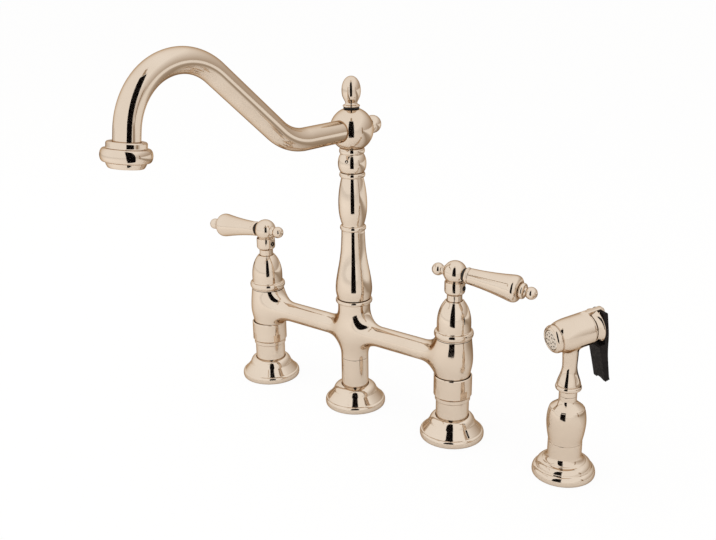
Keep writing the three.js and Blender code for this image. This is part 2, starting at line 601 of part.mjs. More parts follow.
/** Turned column: lower vase, ring, upper vase, ring, and the hollow post that the spout turns on. */
function columnPillar() {
  const belly = columnFoot + column.bellyRise;
  const vaseBelly = vaseZ + column.vaseRise;
  const ring = (path, inner, outer, from) => {
    path.lineTo(inner, from);
    bead(path, inner, outer, from, from + column.ringHeight);
  };
  return turned(outline([column.bore, columnFoot], (p) => {
    p.lineTo(column.footRadius, columnFoot);
    p.quadraticCurveTo(column.bellyRadius + 0.3, columnFoot + 4, column.bellyRadius, belly);
    p.bezierCurveTo(column.bellyRadius - 0.4, belly + 14, column.waistRadius + 0.6, belly + 20,
      column.waistRadius, lowerRingZ - 3);
    ring(p, column.waistRadius - 0.4, column.lowerRingRadius, lowerRingZ);
    p.lineTo(column.vaseFoot, vaseZ + 1);
    p.bezierCurveTo(column.vaseFoot + 2, vaseZ + 8, column.vaseBelly, vaseBelly - 7,
      column.vaseBelly, vaseBelly);
    p.bezierCurveTo(column.vaseBelly, vaseBelly + 10, column.vaseFoot + 1.6, upperRingZ - 5,
      column.vaseFoot - 0.2, upperRingZ - 1);
    ring(p, column.vaseFoot, column.upperRingRadius, upperRingZ);
    p.lineTo(post.radius, columnTop);
    p.lineTo(post.radius, postTop);
    p.lineTo(postBore - post.lip, postTop);
    p.lineTo(postBore - post.lip, postTop - post.lip);
    p.lineTo(postBore, postTop - post.lip);
    p.lineTo(postBore, seatZ - 1);
    p.lineTo(column.bore, seatZ - 4);
    p.lineTo(column.bore, columnFoot);
  }));
}

add('column', columnPillar(), polishedNickel());
add('swivel_bush', tube(bushRadius, post.radius + gap, columnTop + 2 * gap, postTop - 3), whiteAcetal());

/** Diverter piston: a disc that rests on its seat, with a guide for the spring on top. */
function diverterPiston() {
  const discTop = pistonZ + diverter.discHeight;
  return turned([
    [0, pistonZ], [diverter.pistonRadius, pistonZ], [diverter.pistonRadius, discTop],
    [diverter.guideRadius, discTop], [diverter.guideRadius, discTop + diverter.guideHeight],
    [0, discTop + diverter.guideHeight],
  ]);
}

add('diverter_seat', tube(postBore - gap, diverter.seatBore, seatZ, seatZ + diverter.seatHeight), whiteAcetal());
add('diverter_piston', diverterPiston(), whiteAcetal());
add('diverter_spring', spring(diverter.springRadius, diverter.springWire, pistonZ + diverter.discHeight,
  postTop - post.lip, diverter.springTurns), springSteel());

// ---------------------------------------------------------------- spout

/** Swivel base of the spout: a bulb and a collar, bored to turn on the post's bush. */
function swivelBase() {
  const bore = bushRadius + gap;
  const bulge = spoutBase.bulbRadius + 0.7;
  return turned(outline([bore, baseFoot], (p) => {
    p.lineTo(spoutBase.footRadius, baseFoot);
    p.bezierCurveTo(bulge, baseFoot + 3, bulge, collarZ - 4, spoutBase.neckRadius, collarZ);
    bead(p, spoutBase.neckRadius, spoutBase.collarRadius, collarZ, baseTop);
    p.lineTo(bore, baseTop);
    p.lineTo(bore, baseFoot);
  }));
}

const screwTurn = radians(spoutScrew.turn);
const baseScrew = (radius, from, to) => alongX(rod(radius, from, to)).rotateZ(screwTurn);
add('spout_base', cut(solid(swivelBase()), baseScrew(spoutScrew.radius + gap, post.radius, spoutBase.bulbRadius + 4)
  .translate(0, 0, baseFoot + spoutScrew.rise)), polishedNickel());
add('spout_screw', baseScrew(spoutScrew.radius, bushRadius + gap, spoutBase.bulbRadius - 0.6), blackSteel(),
  [0, 0, baseFoot + spoutScrew.rise]);

/** Unit vector of a heading in the spout's plane: 0 points to the front, a right angle points up. */
const forward = (heading) => new THREE.Vector3(0, -Math.cos(heading), Math.sin(heading));

/** A circular arc in the spout's plane, from a start point and heading; a positive turn bends upwards. */
class SpoutArc extends THREE.Curve {
  constructor(start, heading, radius, turn) {
    super();
    Object.assign(this, { start, heading, radius, turn });
  }

  getPoint(t, target = new THREE.Vector3()) {
    const half = (this.turn * t) / 2;
    const chord = 2 * this.radius * Math.sin(Math.abs(half));
    return target.copy(this.start).add(forward(this.heading + half).multiplyScalar(chord));
  }
}

/** Middle line of the spout tube from inside the hub: stub, rising bend, rise, crown, nose and outlet. */
function spoutLine() {
  const line = new THREE.CurvePath();
  let heading = radians(spout.stubAngle);
  let at = forward(heading).multiplyScalar(spout.socket).add(new THREE.Vector3(0, 0, hubZ));
  const straight = (length) => {
    const end = at.clone().add(forward(heading).multiplyScalar(length));
    line.add(new THREE.LineCurve3(at, end));
    at = end;
  };
  const bend = (radius, turn) => {
    const arc = new SpoutArc(at, heading, radius, turn);
    line.add(arc);
    at = arc.getPoint(1);
    heading += turn;
  };
  straight(spout.stubLength - spout.socket);
  bend(spout.riseBend, radians(spout.riseAngle - spout.stubAngle));
  straight(spout.riseLength);
  bend(spout.crownBend, -radians(spout.crownTurn));
  bend(spout.noseBend, -radians(spout.riseAngle - spout.crownTurn + 90 - spout.outletTilt));
  straight(spout.outletLength);
  return { line, end: at, heading };
}

const outlet = spoutLine();
const circle = (radius) => new THREE.Path().absarc(0, 0, radius, 0, 2 * Math.PI).getSpacedPoints(14);
const tubeSection = new THREE.Shape(circle(spout.tubeRadius));
tubeSection.holes.push(new THREE.Path(circle(spout.tubeRadius - spout.wall)));
add('spout_tube', new THREE.ExtrudeGeometry(tubeSection, { extrudePath: outlet.line, steps: 24 }), polishedNickel());

/** Ball-shaped hub, bored for the water, the tube, the finial's stud and the rear knob. */
function ballHub() {
  const low = -Math.asin(spoutHub.rise / spoutHub.radius);
  const body = solid(turned(outline([0, hubFootZ], (p) => {
    p.lineTo(spoutHub.radius * Math.cos(low), hubFootZ);
    p.absarc(0, hubZ, spoutHub.radius, low, Math.acos(finial.baseRadius / spoutHub.radius));
    p.lineTo(0, finialSeat);
  })));
  const past = spoutHub.radius + 2;
  const toFront = (hole) => hole.rotateX(Math.PI / 2 - radians(spout.stubAngle)).translate(0, 0, hubZ);
  const toRear = (hole) => hole.rotateX(-Math.PI / 2).translate(0, 0, hubZ);
  return cut(body, rod(spoutHub.bore, hubFootZ - 1, hubZ),
    toFront(rod(spout.tubeRadius + gap, spout.socket - gap, past)),
    toFront(rod(spout.tubeRadius - spout.wall, 0, past)),
    rod(finial.studRadius + gap, finialFoot - finial.studLength - 1, finialSeat + 1),
    toRear(rod(backKnob.pinRadius + gap, spoutHub.radius - backKnob.pinReach, past)),
    toRear(rod(backKnob.neckRadius + gap, backSeat, past)));
}

add('spout_hub', ballHub(), polishedNickel());

/** Rear knob opposite the spout. */
function rearKnob() {
  const neckTop = backKnob.reach - flatOn(backKnob.radius, backKnob.neckRadius);
  const pinFoot = spoutHub.radius - backKnob.pinReach + gap;
  return turned(outline([0, pinFoot], (p) => {
    p.lineTo(backKnob.pinRadius, pinFoot);
    p.lineTo(backKnob.pinRadius, backSeat + gap);
    p.lineTo(backKnob.neckRadius, backSeat + gap);
    p.lineTo(backKnob.neckRadius, neckTop);
    p.absarc(0, backKnob.reach, backKnob.radius, -Math.acos(backKnob.neckRadius / backKnob.radius), Math.PI / 2);
  })).rotateX(-Math.PI / 2);
}

add('rear_knob', rearKnob(), polishedNickel(), [0, 0, hubZ]);
add('finial_gasket', tube(gasket.radius, finial.studRadius + gap, gasketFoot, gasketFoot + gasket.height),
  blackRubber());

/** Turned finial with a stud that screws into the hub. */
function finialTop() {
  const studFoot = finialFoot - finial.studLength;
  const bodyZ = finialFoot + finial.bodyRise;
  const top = finialFoot + finial.height;
  return turned(outline([0, studFoot], (p) => {
    p.lineTo(finial.studRadius, studFoot);
    p.lineTo(finial.studRadius, finialFoot);
    p.lineTo(finial.baseRadius, finialFoot);
    p.lineTo(finial.baseRadius, finialFoot + finial.baseHeight);
    p.quadraticCurveTo(finial.waistRadius, finialFoot + finial.baseHeight, finial.waistRadius,
      finialFoot + finial.waistRise);
    p.bezierCurveTo(finial.waistRadius + 1.6, bodyZ - 6, finial.bodyRadius, bodyZ - 5, finial.bodyRadius, bodyZ);
    p.bezierCurveTo(finial.bodyRadius, bodyZ + 7, finial.bodyRadius - 3.4, top, 0, top);
  }));
}

add('finial', finialTop(), polishedNickel());

// ---------------------------------------------------------------- outlet with its aerator

// Its own frame stands at the tube's end, with -Z along the outflow.
const outletGroup = new THREE.Group();
outletGroup.position.copy(outlet.end);
outletGroup.rotation.x = -(outlet.heading + Math.PI / 2);
faucet.add(outletGroup);

const aeratorBeadTop = aerator.grip - aerator.collarHeight;
const aeratorBeadFoot = aeratorBeadTop - aerator.beadHeight;
const aeratorLip = aeratorBeadFoot - aerator.cupHeight;
const aeratorBore = aerator.lipRadius - aerator.wall;
const insertTop = -3;

/** Aerator shell round the tube's end: collar, bead and tapered cup. */
const aeratorShell = () => turned(outline([aeratorBore, aeratorLip], (p) => {
  p.lineTo(aerator.lipRadius - 0.6, aeratorLip);
  p.quadraticCurveTo(aerator.lipRadius + 0.6, aeratorLip + 0.2, aerator.cupRadius, aeratorBeadFoot);
  bead(p, aerator.cupRadius, aerator.beadRadius, aeratorBeadFoot, aeratorBeadTop);
  p.lineTo(aerator.collarRadius, aeratorBeadTop);
  p.lineTo(aerator.collarRadius, aerator.grip - 0.6);
  p.lineTo(aerator.collarRadius - 0.6, aerator.grip);
  p.lineTo(spout.tubeRadius + gap, aerator.grip);
  p.lineTo(spout.tubeRadius + gap, -gap);
  p.lineTo(spout.tubeRadius - spout.wall, -gap);
  p.lineTo(spout.tubeRadius - spout.wall, insertTop + 1);
  p.lineTo(aeratorBore, insertTop);
  p.lineTo(aeratorBore, aeratorLip);
}));

add('aerator_shell', aeratorShell(), polishedNickel(), [0, 0, 0], outletGroup);

/** Plastic jet former with a ring of holes round a middle one. */
function jetFormer() {
  const foot = aeratorLip + aeratorInsert.recess;
  const hole = () => rod(aeratorInsert.holeRadius, foot - 1, insertTop + 1);
  const around = Array.from({ length: aeratorInsert.holes }, (_, k) =>
    hole().translate(aeratorInsert.circleRadius, 0, 0).rotateZ((2 * Math.PI * k) / aeratorInsert.holes));
  return cut(solid(rod(aeratorBore - gap, foot, insertTop - gap)), hole(), ...around);
}

add('aerator_insert', jetFormer(), whiteAcetal(), [0, 0, 0], outletGroup);

// ---------------------------------------------------------------- sprayer holder

const sprayer = new THREE.Group();
sprayer.position.x = sprayerX;
faucet.add(sprayer);
const onSprayer = [0, 0, 0];

/** Deck holder: a stepped bell on a threaded shank, open all the way for the hose. */
const sprayerHolder = () => turned(outline([holder.bore, -holder.shankLength], (p) => {
  const beadZ = holder.beadRise;
  p.lineTo(holder.shankRadius, -holder.shankLength);
  p.lineTo(holder.shankRadius, 0);
  p.lineTo(holder.footRadius - 0.8, 0);
  p.quadraticCurveTo(holder.footRadius, 0.3, holder.footRadius, holder.rimHeight);
  p.quadraticCurveTo(holder.footRadius - 0.4, beadZ - 2.2, holder.beadRadius, beadZ);
  p.quadraticCurveTo(holder.neckRadius + 3.2, beadZ + 2.8, holder.neckRadius + 2, holder.height - 2.4);
  p.quadraticCurveTo(holder.neckRadius + 1.6, holder.height, holder.neckRadius - 0.6, holder.height);
  p.lineTo(holder.bore + 0.9, holder.height);
  p.lineTo(holder.bore, holder.height - 1);
  p.lineTo(holder.bore, -holder.shankLength);
}));

add('sprayer_holder', sprayerHolder(), polishedNickel(), onSprayer, sprayer);
deckFixing('sprayer', sprayerX, holder.shankRadius);

// ---------------------------------------------------------------- sprayer

/** Hose coupling under the grip; it guides the sprayer in its holder. */
function hoseCoupling() {
  const tailRadius = coupling.hoseBore + coupling.tailWall;
  const lipFoot = holder.height - coupling.lipHeight;
  const lipTop = holder.height - gap;
  const tailTop = holder.height + coupling.tailHeight;
  return turned([
    [coupling.hoseBore, couplingFoot], [coupling.radius - 1, couplingFoot], [coupling.radius, couplingFoot + 1.5],
    [coupling.radius, lipFoot - 2], [coupling.lipRadius, lipFoot], [coupling.lipRadius, lipTop],
    [tailRadius, lipTop], [tailRadius, tailTop], [coupling.hoseBore, tailTop], [coupling.hoseBore, couplingFoot],
  ]);
}

add('hose_coupling', hoseCoupling(), rawBrass(), onSprayer, sprayer);

/** Vase-shaped grip, open through its middle for the water. */
function gripVase() {
  const tailBore = coupling.hoseBore + coupling.tailWall + gap;
  const tailTop = holder.height + coupling.tailHeight + gap;
  return turned(outline([tailBore, gripFoot], (p) => {
    p.lineTo(grip.footRadius + 0.4, gripFoot);
    p.lineTo(grip.footRadius, gripFoot + 2);
    p.bezierCurveTo(grip.footRadius - 0.1, gripFoot + 11, grip.bellyRadius - 0.6, gripFoot + 15,
      grip.bellyRadius, gripFoot + grip.bellyRise);
    p.quadraticCurveTo(grip.bellyRadius - 0.1, gripFoot + grip.shoulderRise - 3,
      grip.shoulderRadius, gripFoot + grip.shoulderRise);
    p.lineTo(grip.edgeRadius, gripFoot + grip.edgeRise);
    p.lineTo(grip.coneRadius, gripFoot + grip.coneRise);
    p.quadraticCurveTo(grip.neckRadius + 0.6, gripFoot + grip.coneRise + 1.4,
      grip.neckRadius, gripFoot + grip.neckRise);
    p.lineTo(grip.neckRadius, gripTop);
    p.lineTo(coupling.hoseBore, gripTop);
    p.lineTo(coupling.hoseBore, tailTop);
    p.lineTo(tailBore, tailTop);
    p.lineTo(tailBore, gripFoot);
  }));
}

add('sprayer_grip', gripVase(), polishedNickel(), onSprayer, sprayer);

/** Stem between the grip and the head, with a ring at its foot. */
function sprayerStem() {
  const ringFoot = sprayStemFoot + sprayStem.ringRise;
  const ringTop = ringFoot + sprayStem.ringHeight;
  const bellTop = ringTop + sprayStem.bellHeight;
  const groove = sprayStem.bellRadius - 0.9;
  return turned(outline([coupling.hoseBore, sprayStemFoot], (p) => {
    p.lineTo(sprayStem.footRadius, sprayStemFoot);
    p.lineTo(sprayStem.footRadius, ringFoot - 1);
    p.lineTo(groove, ringFoot);
    bead(p, groove, sprayStem.ringRadius, ringFoot, ringTop);
    p.lineTo(sprayStem.bellRadius, ringTop + 0.4);
    p.bezierCurveTo(sprayStem.bellRadius - 1.6, ringTop + 6, sprayStem.waistRadius, ringTop + 10,
      sprayStem.waistRadius, bellTop);
    p.lineTo(sprayStem.topRadius, sprayStemTop);
    p.lineTo(coupling.hoseBore, sprayStemTop);
    p.lineTo(coupling.hoseBore, sprayStemFoot);
  }));
}

add('sprayer_stem', sprayerStem(), polishedNickel(), onSprayer, sprayer);

// The head's own frame: +X to the front along the nozzle, turned to one side and tipped a little down.
const headTurn = new THREE.Group();
headTurn.position.z = head.rise;
headTurn.rotation.z = radians(head.turn - 90);
sprayer.add(headTurn);
const headGroup = new THREE.Group();
headGroup.rotation.y = radians(head.tilt);
headTurn.add(headGroup);
const inHead = [0, 0, 0];

/** Hinge bar along the barrel's back: it passes the cap's slot and ends in the eye of the trigger's pin. */
function hingeBar() {
  const start = pinX + hinge.eyeRadius + hinge.length;
  const bar = new THREE.Shape();
  bar.moveTo(start, hingeFoot);
  bar.lineTo(start, head.rearRadius - 0.4);
  bar.quadraticCurveTo(start - 3, hingeTop, start - 6, hingeTop);
  bar.lineTo(pinX + 0.8, hingeTop);
  bar.quadraticCurveTo(pinX - hinge.eyeRadius, hingeTop, pinX - hinge.eyeRadius, pinZ);
  bar.absarc(pinX, pinZ, hinge.eyeRadius, Math.PI, 2 * Math.PI);
  bar.lineTo(pinX + hinge.eyeRadius, hingeFoot);
  return plateAcross(bar, hinge.width);
}

/** Pin or hole of the trigger's hinge, across the head. */
const hingeRod = (radius, length) => rod(radius, -length / 2, length / 2)
  .rotateX(Math.PI / 2).translate(pinX, 0, pinZ);

/** Barrel of the head with its hinge bar, a chamber for the plunger behind and a seat for the rose. */
function headBarrel() {
  const groove = head.rearRadius - head.grooveDepth;
  const grooveEnd = head.grooveWidth - head.rear;
  const nose = head.front + head.noseLength;
  const roseSeat = nose - rose.recess - rose.thickness - gap;
  const barrel = alongX(turned(outline([head.chamberRadius, -head.rear], (p) => {
    p.lineTo(groove, -head.rear);
    p.lineTo(groove, grooveEnd);
    p.lineTo(head.rearRadius, grooveEnd);
    p.lineTo(head.rearRadius, 0);
    p.bezierCurveTo(head.rearRadius, 0.45 * head.front, head.rearRadius - 0.4, 0.8 * head.front,
      head.frontRadius, head.front);
    p.lineTo(head.frontRadius - 0.3, head.front + 0.4);
    p.lineTo(head.noseRadius, head.front + 1.4);
    p.quadraticCurveTo(head.noseRadius, nose - 0.6, head.mouthRadius + 0.4, nose);
    p.lineTo(head.mouthRadius, nose);
    p.lineTo(head.mouthRadius, roseSeat);
    p.lineTo(head.throatRadius, roseSeat);
    p.lineTo(head.throatRadius, -head.seat);
    p.lineTo(head.chamberRadius, -head.seat);
    p.lineTo(head.chamberRadius, -head.rear);
  })));
  const upright = (hole) => hole.translate(0, 0, -head.rise).rotateY(-radians(head.tilt));
  return cut(joined(barrel, hingeBar()), hingeRod(hinge.pinRadius + gap, 2 * hinge.width),
    upright(rod(sprayStem.topRadius + gap, sprayStemFoot, sprayStemTop + gap)),
    upright(rod(coupling.hoseBore, sprayStemTop, head.rise)));
}

add('sprayer_head', headBarrel(), polishedNickel(), inHead, headGroup);

/** Perforated spray face set in the nose. */
function sprayRose() {
  const to = head.front + head.noseLength - rose.recess;
  const from = to - rose.thickness;
  const ring = (count, circleRadius) => Array.from({ length: count }, (_, k) =>
    rod(rose.holeRadius, from - 1, to + 1).translate(circleRadius, 0, 0).rotateZ((2 * Math.PI * k) / count));
  return alongX(cut(solid(rod(head.mouthRadius - gap, from, to)), ...ring(rose.innerHoles, rose.innerCircle),
    ...ring(rose.outerHoles, rose.outerCircle)));
}

add('spray_rose', sprayRose(), polishedNickel(), inHead, headGroup);

/** Rear cap: a flared plug that closes the barrel behind the plunger's disc, slotted for the hinge bar. */
function rearCap() {
  const flare = alongX(turned(outline([plunger.radius + gap, capBack], (p) => {
    p.lineTo(cap.radius - 1, capBack);
    p.quadraticCurveTo(cap.radius, capBack, cap.radius, capBack + 1);
    p.quadraticCurveTo(cap.frontRadius + 0.3, capBack + 0.5 * cap.length, cap.frontRadius, capFront);
    p.lineTo(plunger.radius + gap, capFront);
    p.lineTo(plunger.radius + gap, capBack);
  })));
  const slotFoot = hingeFoot - gap;
  const slotHeight = cap.radius + 1 - slotFoot;
  return cut(solid(flare), block(2 * cap.length, hinge.width + 2 * gap, slotHeight,
    (capFront + capBack) / 2, 0, slotFoot + slotHeight / 2));
}

add('sprayer_cap', rearCap(), polishedNickel(), inHead, headGroup);
add('trigger_pin', hingeRod(hinge.pinRadius, trigger.width - 1), springSteel(), inHead, headGroup);

/** Trigger: a long paddle, slotted round the hinge's eye, deepest below the barrel and notched at its foot. */
function triggerPaddle() {
  const foot = pinZ - trigger.drop;
  const crownTop = pinZ + trigger.crown;
  const lowBack = triggerBack + trigger.lean;
  const underCap = -cap.radius - 1.4;
  const belly = underCap - 1.2;
  const footFront = triggerFront + trigger.footReach;
  const bellyFront = triggerFront + trigger.reach;
  const paddle = new THREE.Shape();
  paddle.moveTo(triggerFront, pinZ + 0.5);
  paddle.quadraticCurveTo(triggerFront, crownTop, pinX, crownTop);
  paddle.quadraticCurveTo(triggerBack, crownTop, triggerBack, pinZ + 0.5);
  paddle.lineTo(triggerBack, pinZ - trigger.leanStart);
  paddle.bezierCurveTo(triggerBack, pinZ - trigger.leanStart - 8, lowBack, pinZ - trigger.leanEnd + 10,
    lowBack, pinZ - trigger.leanEnd);
  paddle.lineTo(lowBack, foot + 5);
  paddle.quadraticCurveTo(lowBack, foot + 2, lowBack - trigger.footKick, foot + 0.8);
  paddle.lineTo(footFront - 0.6, foot);
  paddle.lineTo(footFront, foot + 1.2);
  paddle.quadraticCurveTo((footFront + bellyFront) / 2 - 0.3, (foot + belly) / 2, bellyFront, belly);
  paddle.lineTo(bellyFront - 1, underCap);
  paddle.lineTo(triggerFront, underCap);
  const eyeRoom = hinge.eyeRadius + 0.4;
  const slotHeight = eyeRoom + trigger.crown + 1;
  return cut(solid(plateAcross(paddle, trigger.width)), hingeRod(hinge.pinRadius + gap, 2 * trigger.width),
    block(2 * trigger.thickness, hinge.width + 2 * gap, slotHeight, pinX, 0, pinZ - eyeRoom + slotHeight / 2),
    alongX(rod(trigger.notchRadius, triggerBack - 2, bellyFront + 2))
      .scale(1, 1, trigger.notchDepth / trigger.notchRadius).translate(0, 0, foot));
}

add('trigger', triggerPaddle(), blackPlastic(), inHead, headGroup);

/** Plunger that the trigger pushes: a tapered tip, a rod through the cap and a disc in the chamber. */
const valvePlunger = () => alongX(turned([
  [0, triggerFront + gap], [plunger.tipRadius, triggerFront + gap], [plunger.radius, triggerFront + gap + 0.6],
  [plunger.radius, discBack], [discRadius, discBack], [discRadius, discFront], [0, discFront],
]));

add('trigger_plunger', valvePlunger(), whiteAcetal(), inHead, headGroup);
add('plunger_spring', alongX(spring(springSeatRadius, plungerSpring.wire, discFront + plunger.stroke, -head.seat,
  plungerSpring.turns)), springSteel(), inHead, headGroup);

export default faucet;
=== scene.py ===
import math

import bmesh
import bpy
import numpy as np
from mathutils import Matrix, Vector


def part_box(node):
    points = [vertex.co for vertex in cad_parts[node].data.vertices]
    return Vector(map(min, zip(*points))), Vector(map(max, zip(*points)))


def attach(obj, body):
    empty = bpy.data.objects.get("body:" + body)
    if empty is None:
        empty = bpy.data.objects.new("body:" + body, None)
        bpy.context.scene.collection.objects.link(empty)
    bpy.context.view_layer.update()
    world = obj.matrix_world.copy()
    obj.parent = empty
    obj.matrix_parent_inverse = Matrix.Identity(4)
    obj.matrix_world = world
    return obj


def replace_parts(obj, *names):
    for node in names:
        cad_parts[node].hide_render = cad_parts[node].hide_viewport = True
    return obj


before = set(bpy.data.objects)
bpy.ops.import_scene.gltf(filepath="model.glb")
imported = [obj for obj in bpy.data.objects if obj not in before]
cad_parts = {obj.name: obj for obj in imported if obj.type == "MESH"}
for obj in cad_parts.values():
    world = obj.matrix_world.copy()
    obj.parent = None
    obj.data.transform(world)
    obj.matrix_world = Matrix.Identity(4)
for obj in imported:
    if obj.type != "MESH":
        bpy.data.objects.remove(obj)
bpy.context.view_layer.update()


# Supply legs and middle leg. Each is one brass bar turned to a plain sleeve above the deck, with
# pipe thread cut on the shank below it and a bore for the water. The sleeves are polished and
# nickel plated.

MM = 0.001
EASE = 0.25            # how far a turned edge is broken with a file, in millimetres
EDGE_FROM = 25         # degrees of turn from which a corner counts as an edge to break
EDGE_LIMIT = 2.8       # the sharpest turn that is reckoned with, in radians
EDGE_SHARE = 0.4       # how much of the strokes beside it a broken edge may take
FINE_SIDES, PLAIN_SIDES = 96, 64    # facets round a turning
FINE_FROM = 11         # the radius from which it needs the finer
ON_AXIS = 1e-6
SAME_PLACE = 1e-5
HARD_EDGE = 40         # degrees from which an edge is seen as hard


def outline(start, *strokes, steps=12):
    """Points of a half section: a stroke of 2 numbers is a line, one of 4 or 6 a curve."""
    points = [Vector(start)]
    for stroke in strokes:
        knots = [points[-1]] + [Vector(stroke[i:i + 2]) for i in range(0, len(stroke), 2)]
        last = len(knots) - 1
        parts = 1 if last == 1 else steps
        for part in range(1, parts + 1):
            t = part / parts
            weights = [math.comb(last, k) * t ** k * (1 - t) ** (last - k) for k in range(last + 1)]
            points.append(sum((knot * weight for knot, weight in zip(knots, weights)),
                    Vector((0, 0))))
    return points


def arc(radius, height, start, end, across=0, flat=1, steps=20):
    """Points of an arc round (across, height), in degrees from the outward direction up."""
    angles = [math.radians(start + (end - start) * i / steps) for i in range(steps + 1)]
    return [(max(across + radius * math.cos(a), 0), height + flat * radius * math.sin(a))
        for a in angles]


def bead(inner, outer, low, high):
    """Points of a half-round bead between two heights."""
    return arc(outer - inner, (low + high) / 2, -90, 90, across=inner,
        flat=(high - low) / 2 / (outer - inner))


def eased(points, radius):
    """The half section with each corner rounded off."""
    bored = points[0].x > 0
    rounded = []
    for i, corner in enumerate(points):
        before = corner - points[i - 1]
        after = points[(i + 1) % len(points)] - corner
        at_pole = not bored and i in (0, len(points) - 1)
        turn = 0 if at_pole or not before.length or not after.length else before.angle(after)
        if turn < math.radians(EDGE_FROM):
            rounded.append(corner)
            continue
        reach = min(radius * math.tan(min(turn, EDGE_LIMIT) / 2), EDGE_SHARE * before.length,
            EDGE_SHARE * after.length)
        first = corner - before.normalized() * reach
        last = corner + after.normalized() * reach
        rounded += outline(first, (*corner, *last), steps=4)
    return rounded


def mesh_from(shape, name):
    """Ends the work on a shape and gives its mesh."""
    mesh = bpy.data.meshes.new(name)
    shape.to_mesh(mesh)
    shape.free()
    return mesh


def turned(points, ease=EASE):
    """A piece turned on the lathe about +Z, in millimetres."""
    points = eased([Vector(p) for p in points], ease)
    sides = FINE_SIDES if max(p.x for p in points) > FINE_FROM else PLAIN_SIDES
    lathe = bmesh.new()
    rings = []
    for point in points:
        if point.x < ON_AXIS:
            rings.append([lathe.verts.new((0, 0, point.y))] * sides)
            continue
        angles = [2 * math.pi * k / sides for k in range(sides)]
        rings.append([lathe.verts.new((point.x * math.cos(a), point.x * math.sin(a), point.y))
                for a in angles])
    if points[0].x > 0:
        rings.append(rings[0])
    for low, high in zip(rings, rings[1:]):
        for k in range(sides):
            ring = [low[k], low[(k + 1) % sides], high[(k + 1) % sides], high[k]]
            corners = list(dict.fromkeys(ring))
            if len(corners) > 2:
                lathe.faces.new(corners)
    bmesh.ops.remove_doubles(lathe, verts=lathe.verts, dist=SAME_PLACE)
    bmesh.ops.recalc_face_normals(lathe, faces=lathe.faces)
    return mesh_from(lathe, "turned")


def fused(*meshes):
    """Several closed shells as one mesh."""
    whole = bmesh.new()
    for mesh in meshes:
        whole.from_mesh(mesh)
    return mesh_from(whole, "fused")


def linked(name, data):
    """A new object in the scene."""
    thing = bpy.data.objects.new(name, data)
    bpy.context.scene.collection.objects.link(thing)
    return thing


def applied(mesh, *modifiers):
    """The mesh with modifiers applied, each given as its kind and its settings."""
    bench = linked("bench", mesh)
    for kind, settings in modifiers:
        modifier = bench.modifiers.new(kind.lower(), kind)
        for setting, value in settings.items():
            if isinstance(modifier, bpy.types.NodesModifier) and setting != "node_group":
                names = {s.name: s.identifier for s in modifier.node_group.interface.items_tree}
                modifier[names[setting]] = value
            else:
                setattr(modifier, setting, value)
    bpy.context.view_layer.update()
    result = bpy.data.meshes.new_from_object(
        bench.evaluated_get(bpy.context.evaluated_depsgraph_get()))
    bpy.data.objects.remove(bench)
    return result


def placed(mesh, *moves):
    """A copy of the mesh after some moves, the first one first, still in millimetres."""
    copy = mesh.copy()
    for move in moves:
        copy.transform(move)
    return copy


def shift(x=0, y=0, z=0):
    return Matrix.Translation((x, y, z))


def turn_about(axis, degrees):
    return Matrix.Rotation(math.radians(degrees), 4, axis)


def fitted(name, mesh, material, shade=True):
    """The finished object of a mesh in millimetres, smooth but for its sharp edges."""
    mesh.transform(Matrix.Scale(MM, 4))
    if shade:
        mesh.polygons.foreach_set("use_smooth", [True] * len(mesh.polygons))
        mesh.set_sharp_from_angle(angle=math.radians(HARD_EDGE))
        mesh = applied(mesh, ("WEIGHTED_NORMAL", {"keep_sharp": True, "weight": 60}))
    mesh.materials.clear()
    mesh.materials.append(material)
    mesh.name = name
    return linked(name, mesh)


def axis_of(node):
    """Where a turned node stands, in millimetres: the X and Y of its axis, its foot and its top."""
    low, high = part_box(node)
    middle = (low + high) / 2
    return middle.x / MM, middle.y / MM, low.z / MM, high.z / MM


def node_material(name, colour, metallic, roughness):
    """A new material with its shader's plain sockets set."""
    material = bpy.data.materials.new(name)
    material.use_nodes = True
    shader = material.node_tree.nodes["Principled BSDF"]
    shader.inputs["Base Color"].default_value = (*colour, 1)
    shader.inputs["Metallic"].default_value = metallic
    shader.inputs["Roughness"].default_value = roughness
    return material


def wired(tree, *links):
    """Links nodes: each link is a node and its output, and a node and its input."""
    for source, output, target, socket in links:
        tree.links.new(source.outputs[output], target.inputs[socket])


def new_node(tree, kind, sockets=None, **settings):
    """A new node with some of its settings and input sockets set."""
    node = tree.nodes.new(kind)
    for setting, value in settings.items():
        setattr(node, setting, value)
    for socket, value in (sockets or {}).items():
        node.inputs[socket].default_value = value
    return node


def colour_ramp(tree, *stops):
    """A ramp of colours, each given with its place."""
    ramp = tree.nodes.new("ShaderNodeValToRGB")
    elements = ramp.color_ramp.elements
    for end, (place, colour) in ((0, stops[0]), (1, stops[-1])):
        elements[end].position = place
        elements[end].color = (*colour, 1)
    for place, colour in stops[1:-1]:
        elements.new(place).color = (*colour, 1)
    return ramp


def noise(material, scale, detail=3, stretch=(1, 1, 1)):
    """A noise pattern fixed to the piece; its scale counts the blotches in a metre."""
    tree = material.node_tree
    place = new_node(tree, "ShaderNodeTexCoord")
    mapping = new_node(tree, "ShaderNodeMapping", {"Scale": stretch})
    pattern = new_node(tree, "ShaderNodeTexNoise", {"Scale": scale, "Detail": detail})
    wired(tree, (place, "Object", mapping, "Vector"), (mapping, "Vector", pattern, "Vector"))
    return pattern


PALE, DARK = 0.35, 0.65    # where in a noise pattern a finish reaches its two ends


def tinted(material, pattern, low, high):
    """Lets the colour wander between two tones along a pattern."""
    tree = material.node_tree
    ramp = colour_ramp(tree, (PALE, low), (DARK, high))
    wired(tree, (pattern, "Fac", ramp, "Fac"),
        (ramp, "Color", tree.nodes["Principled BSDF"], "Base Color"))


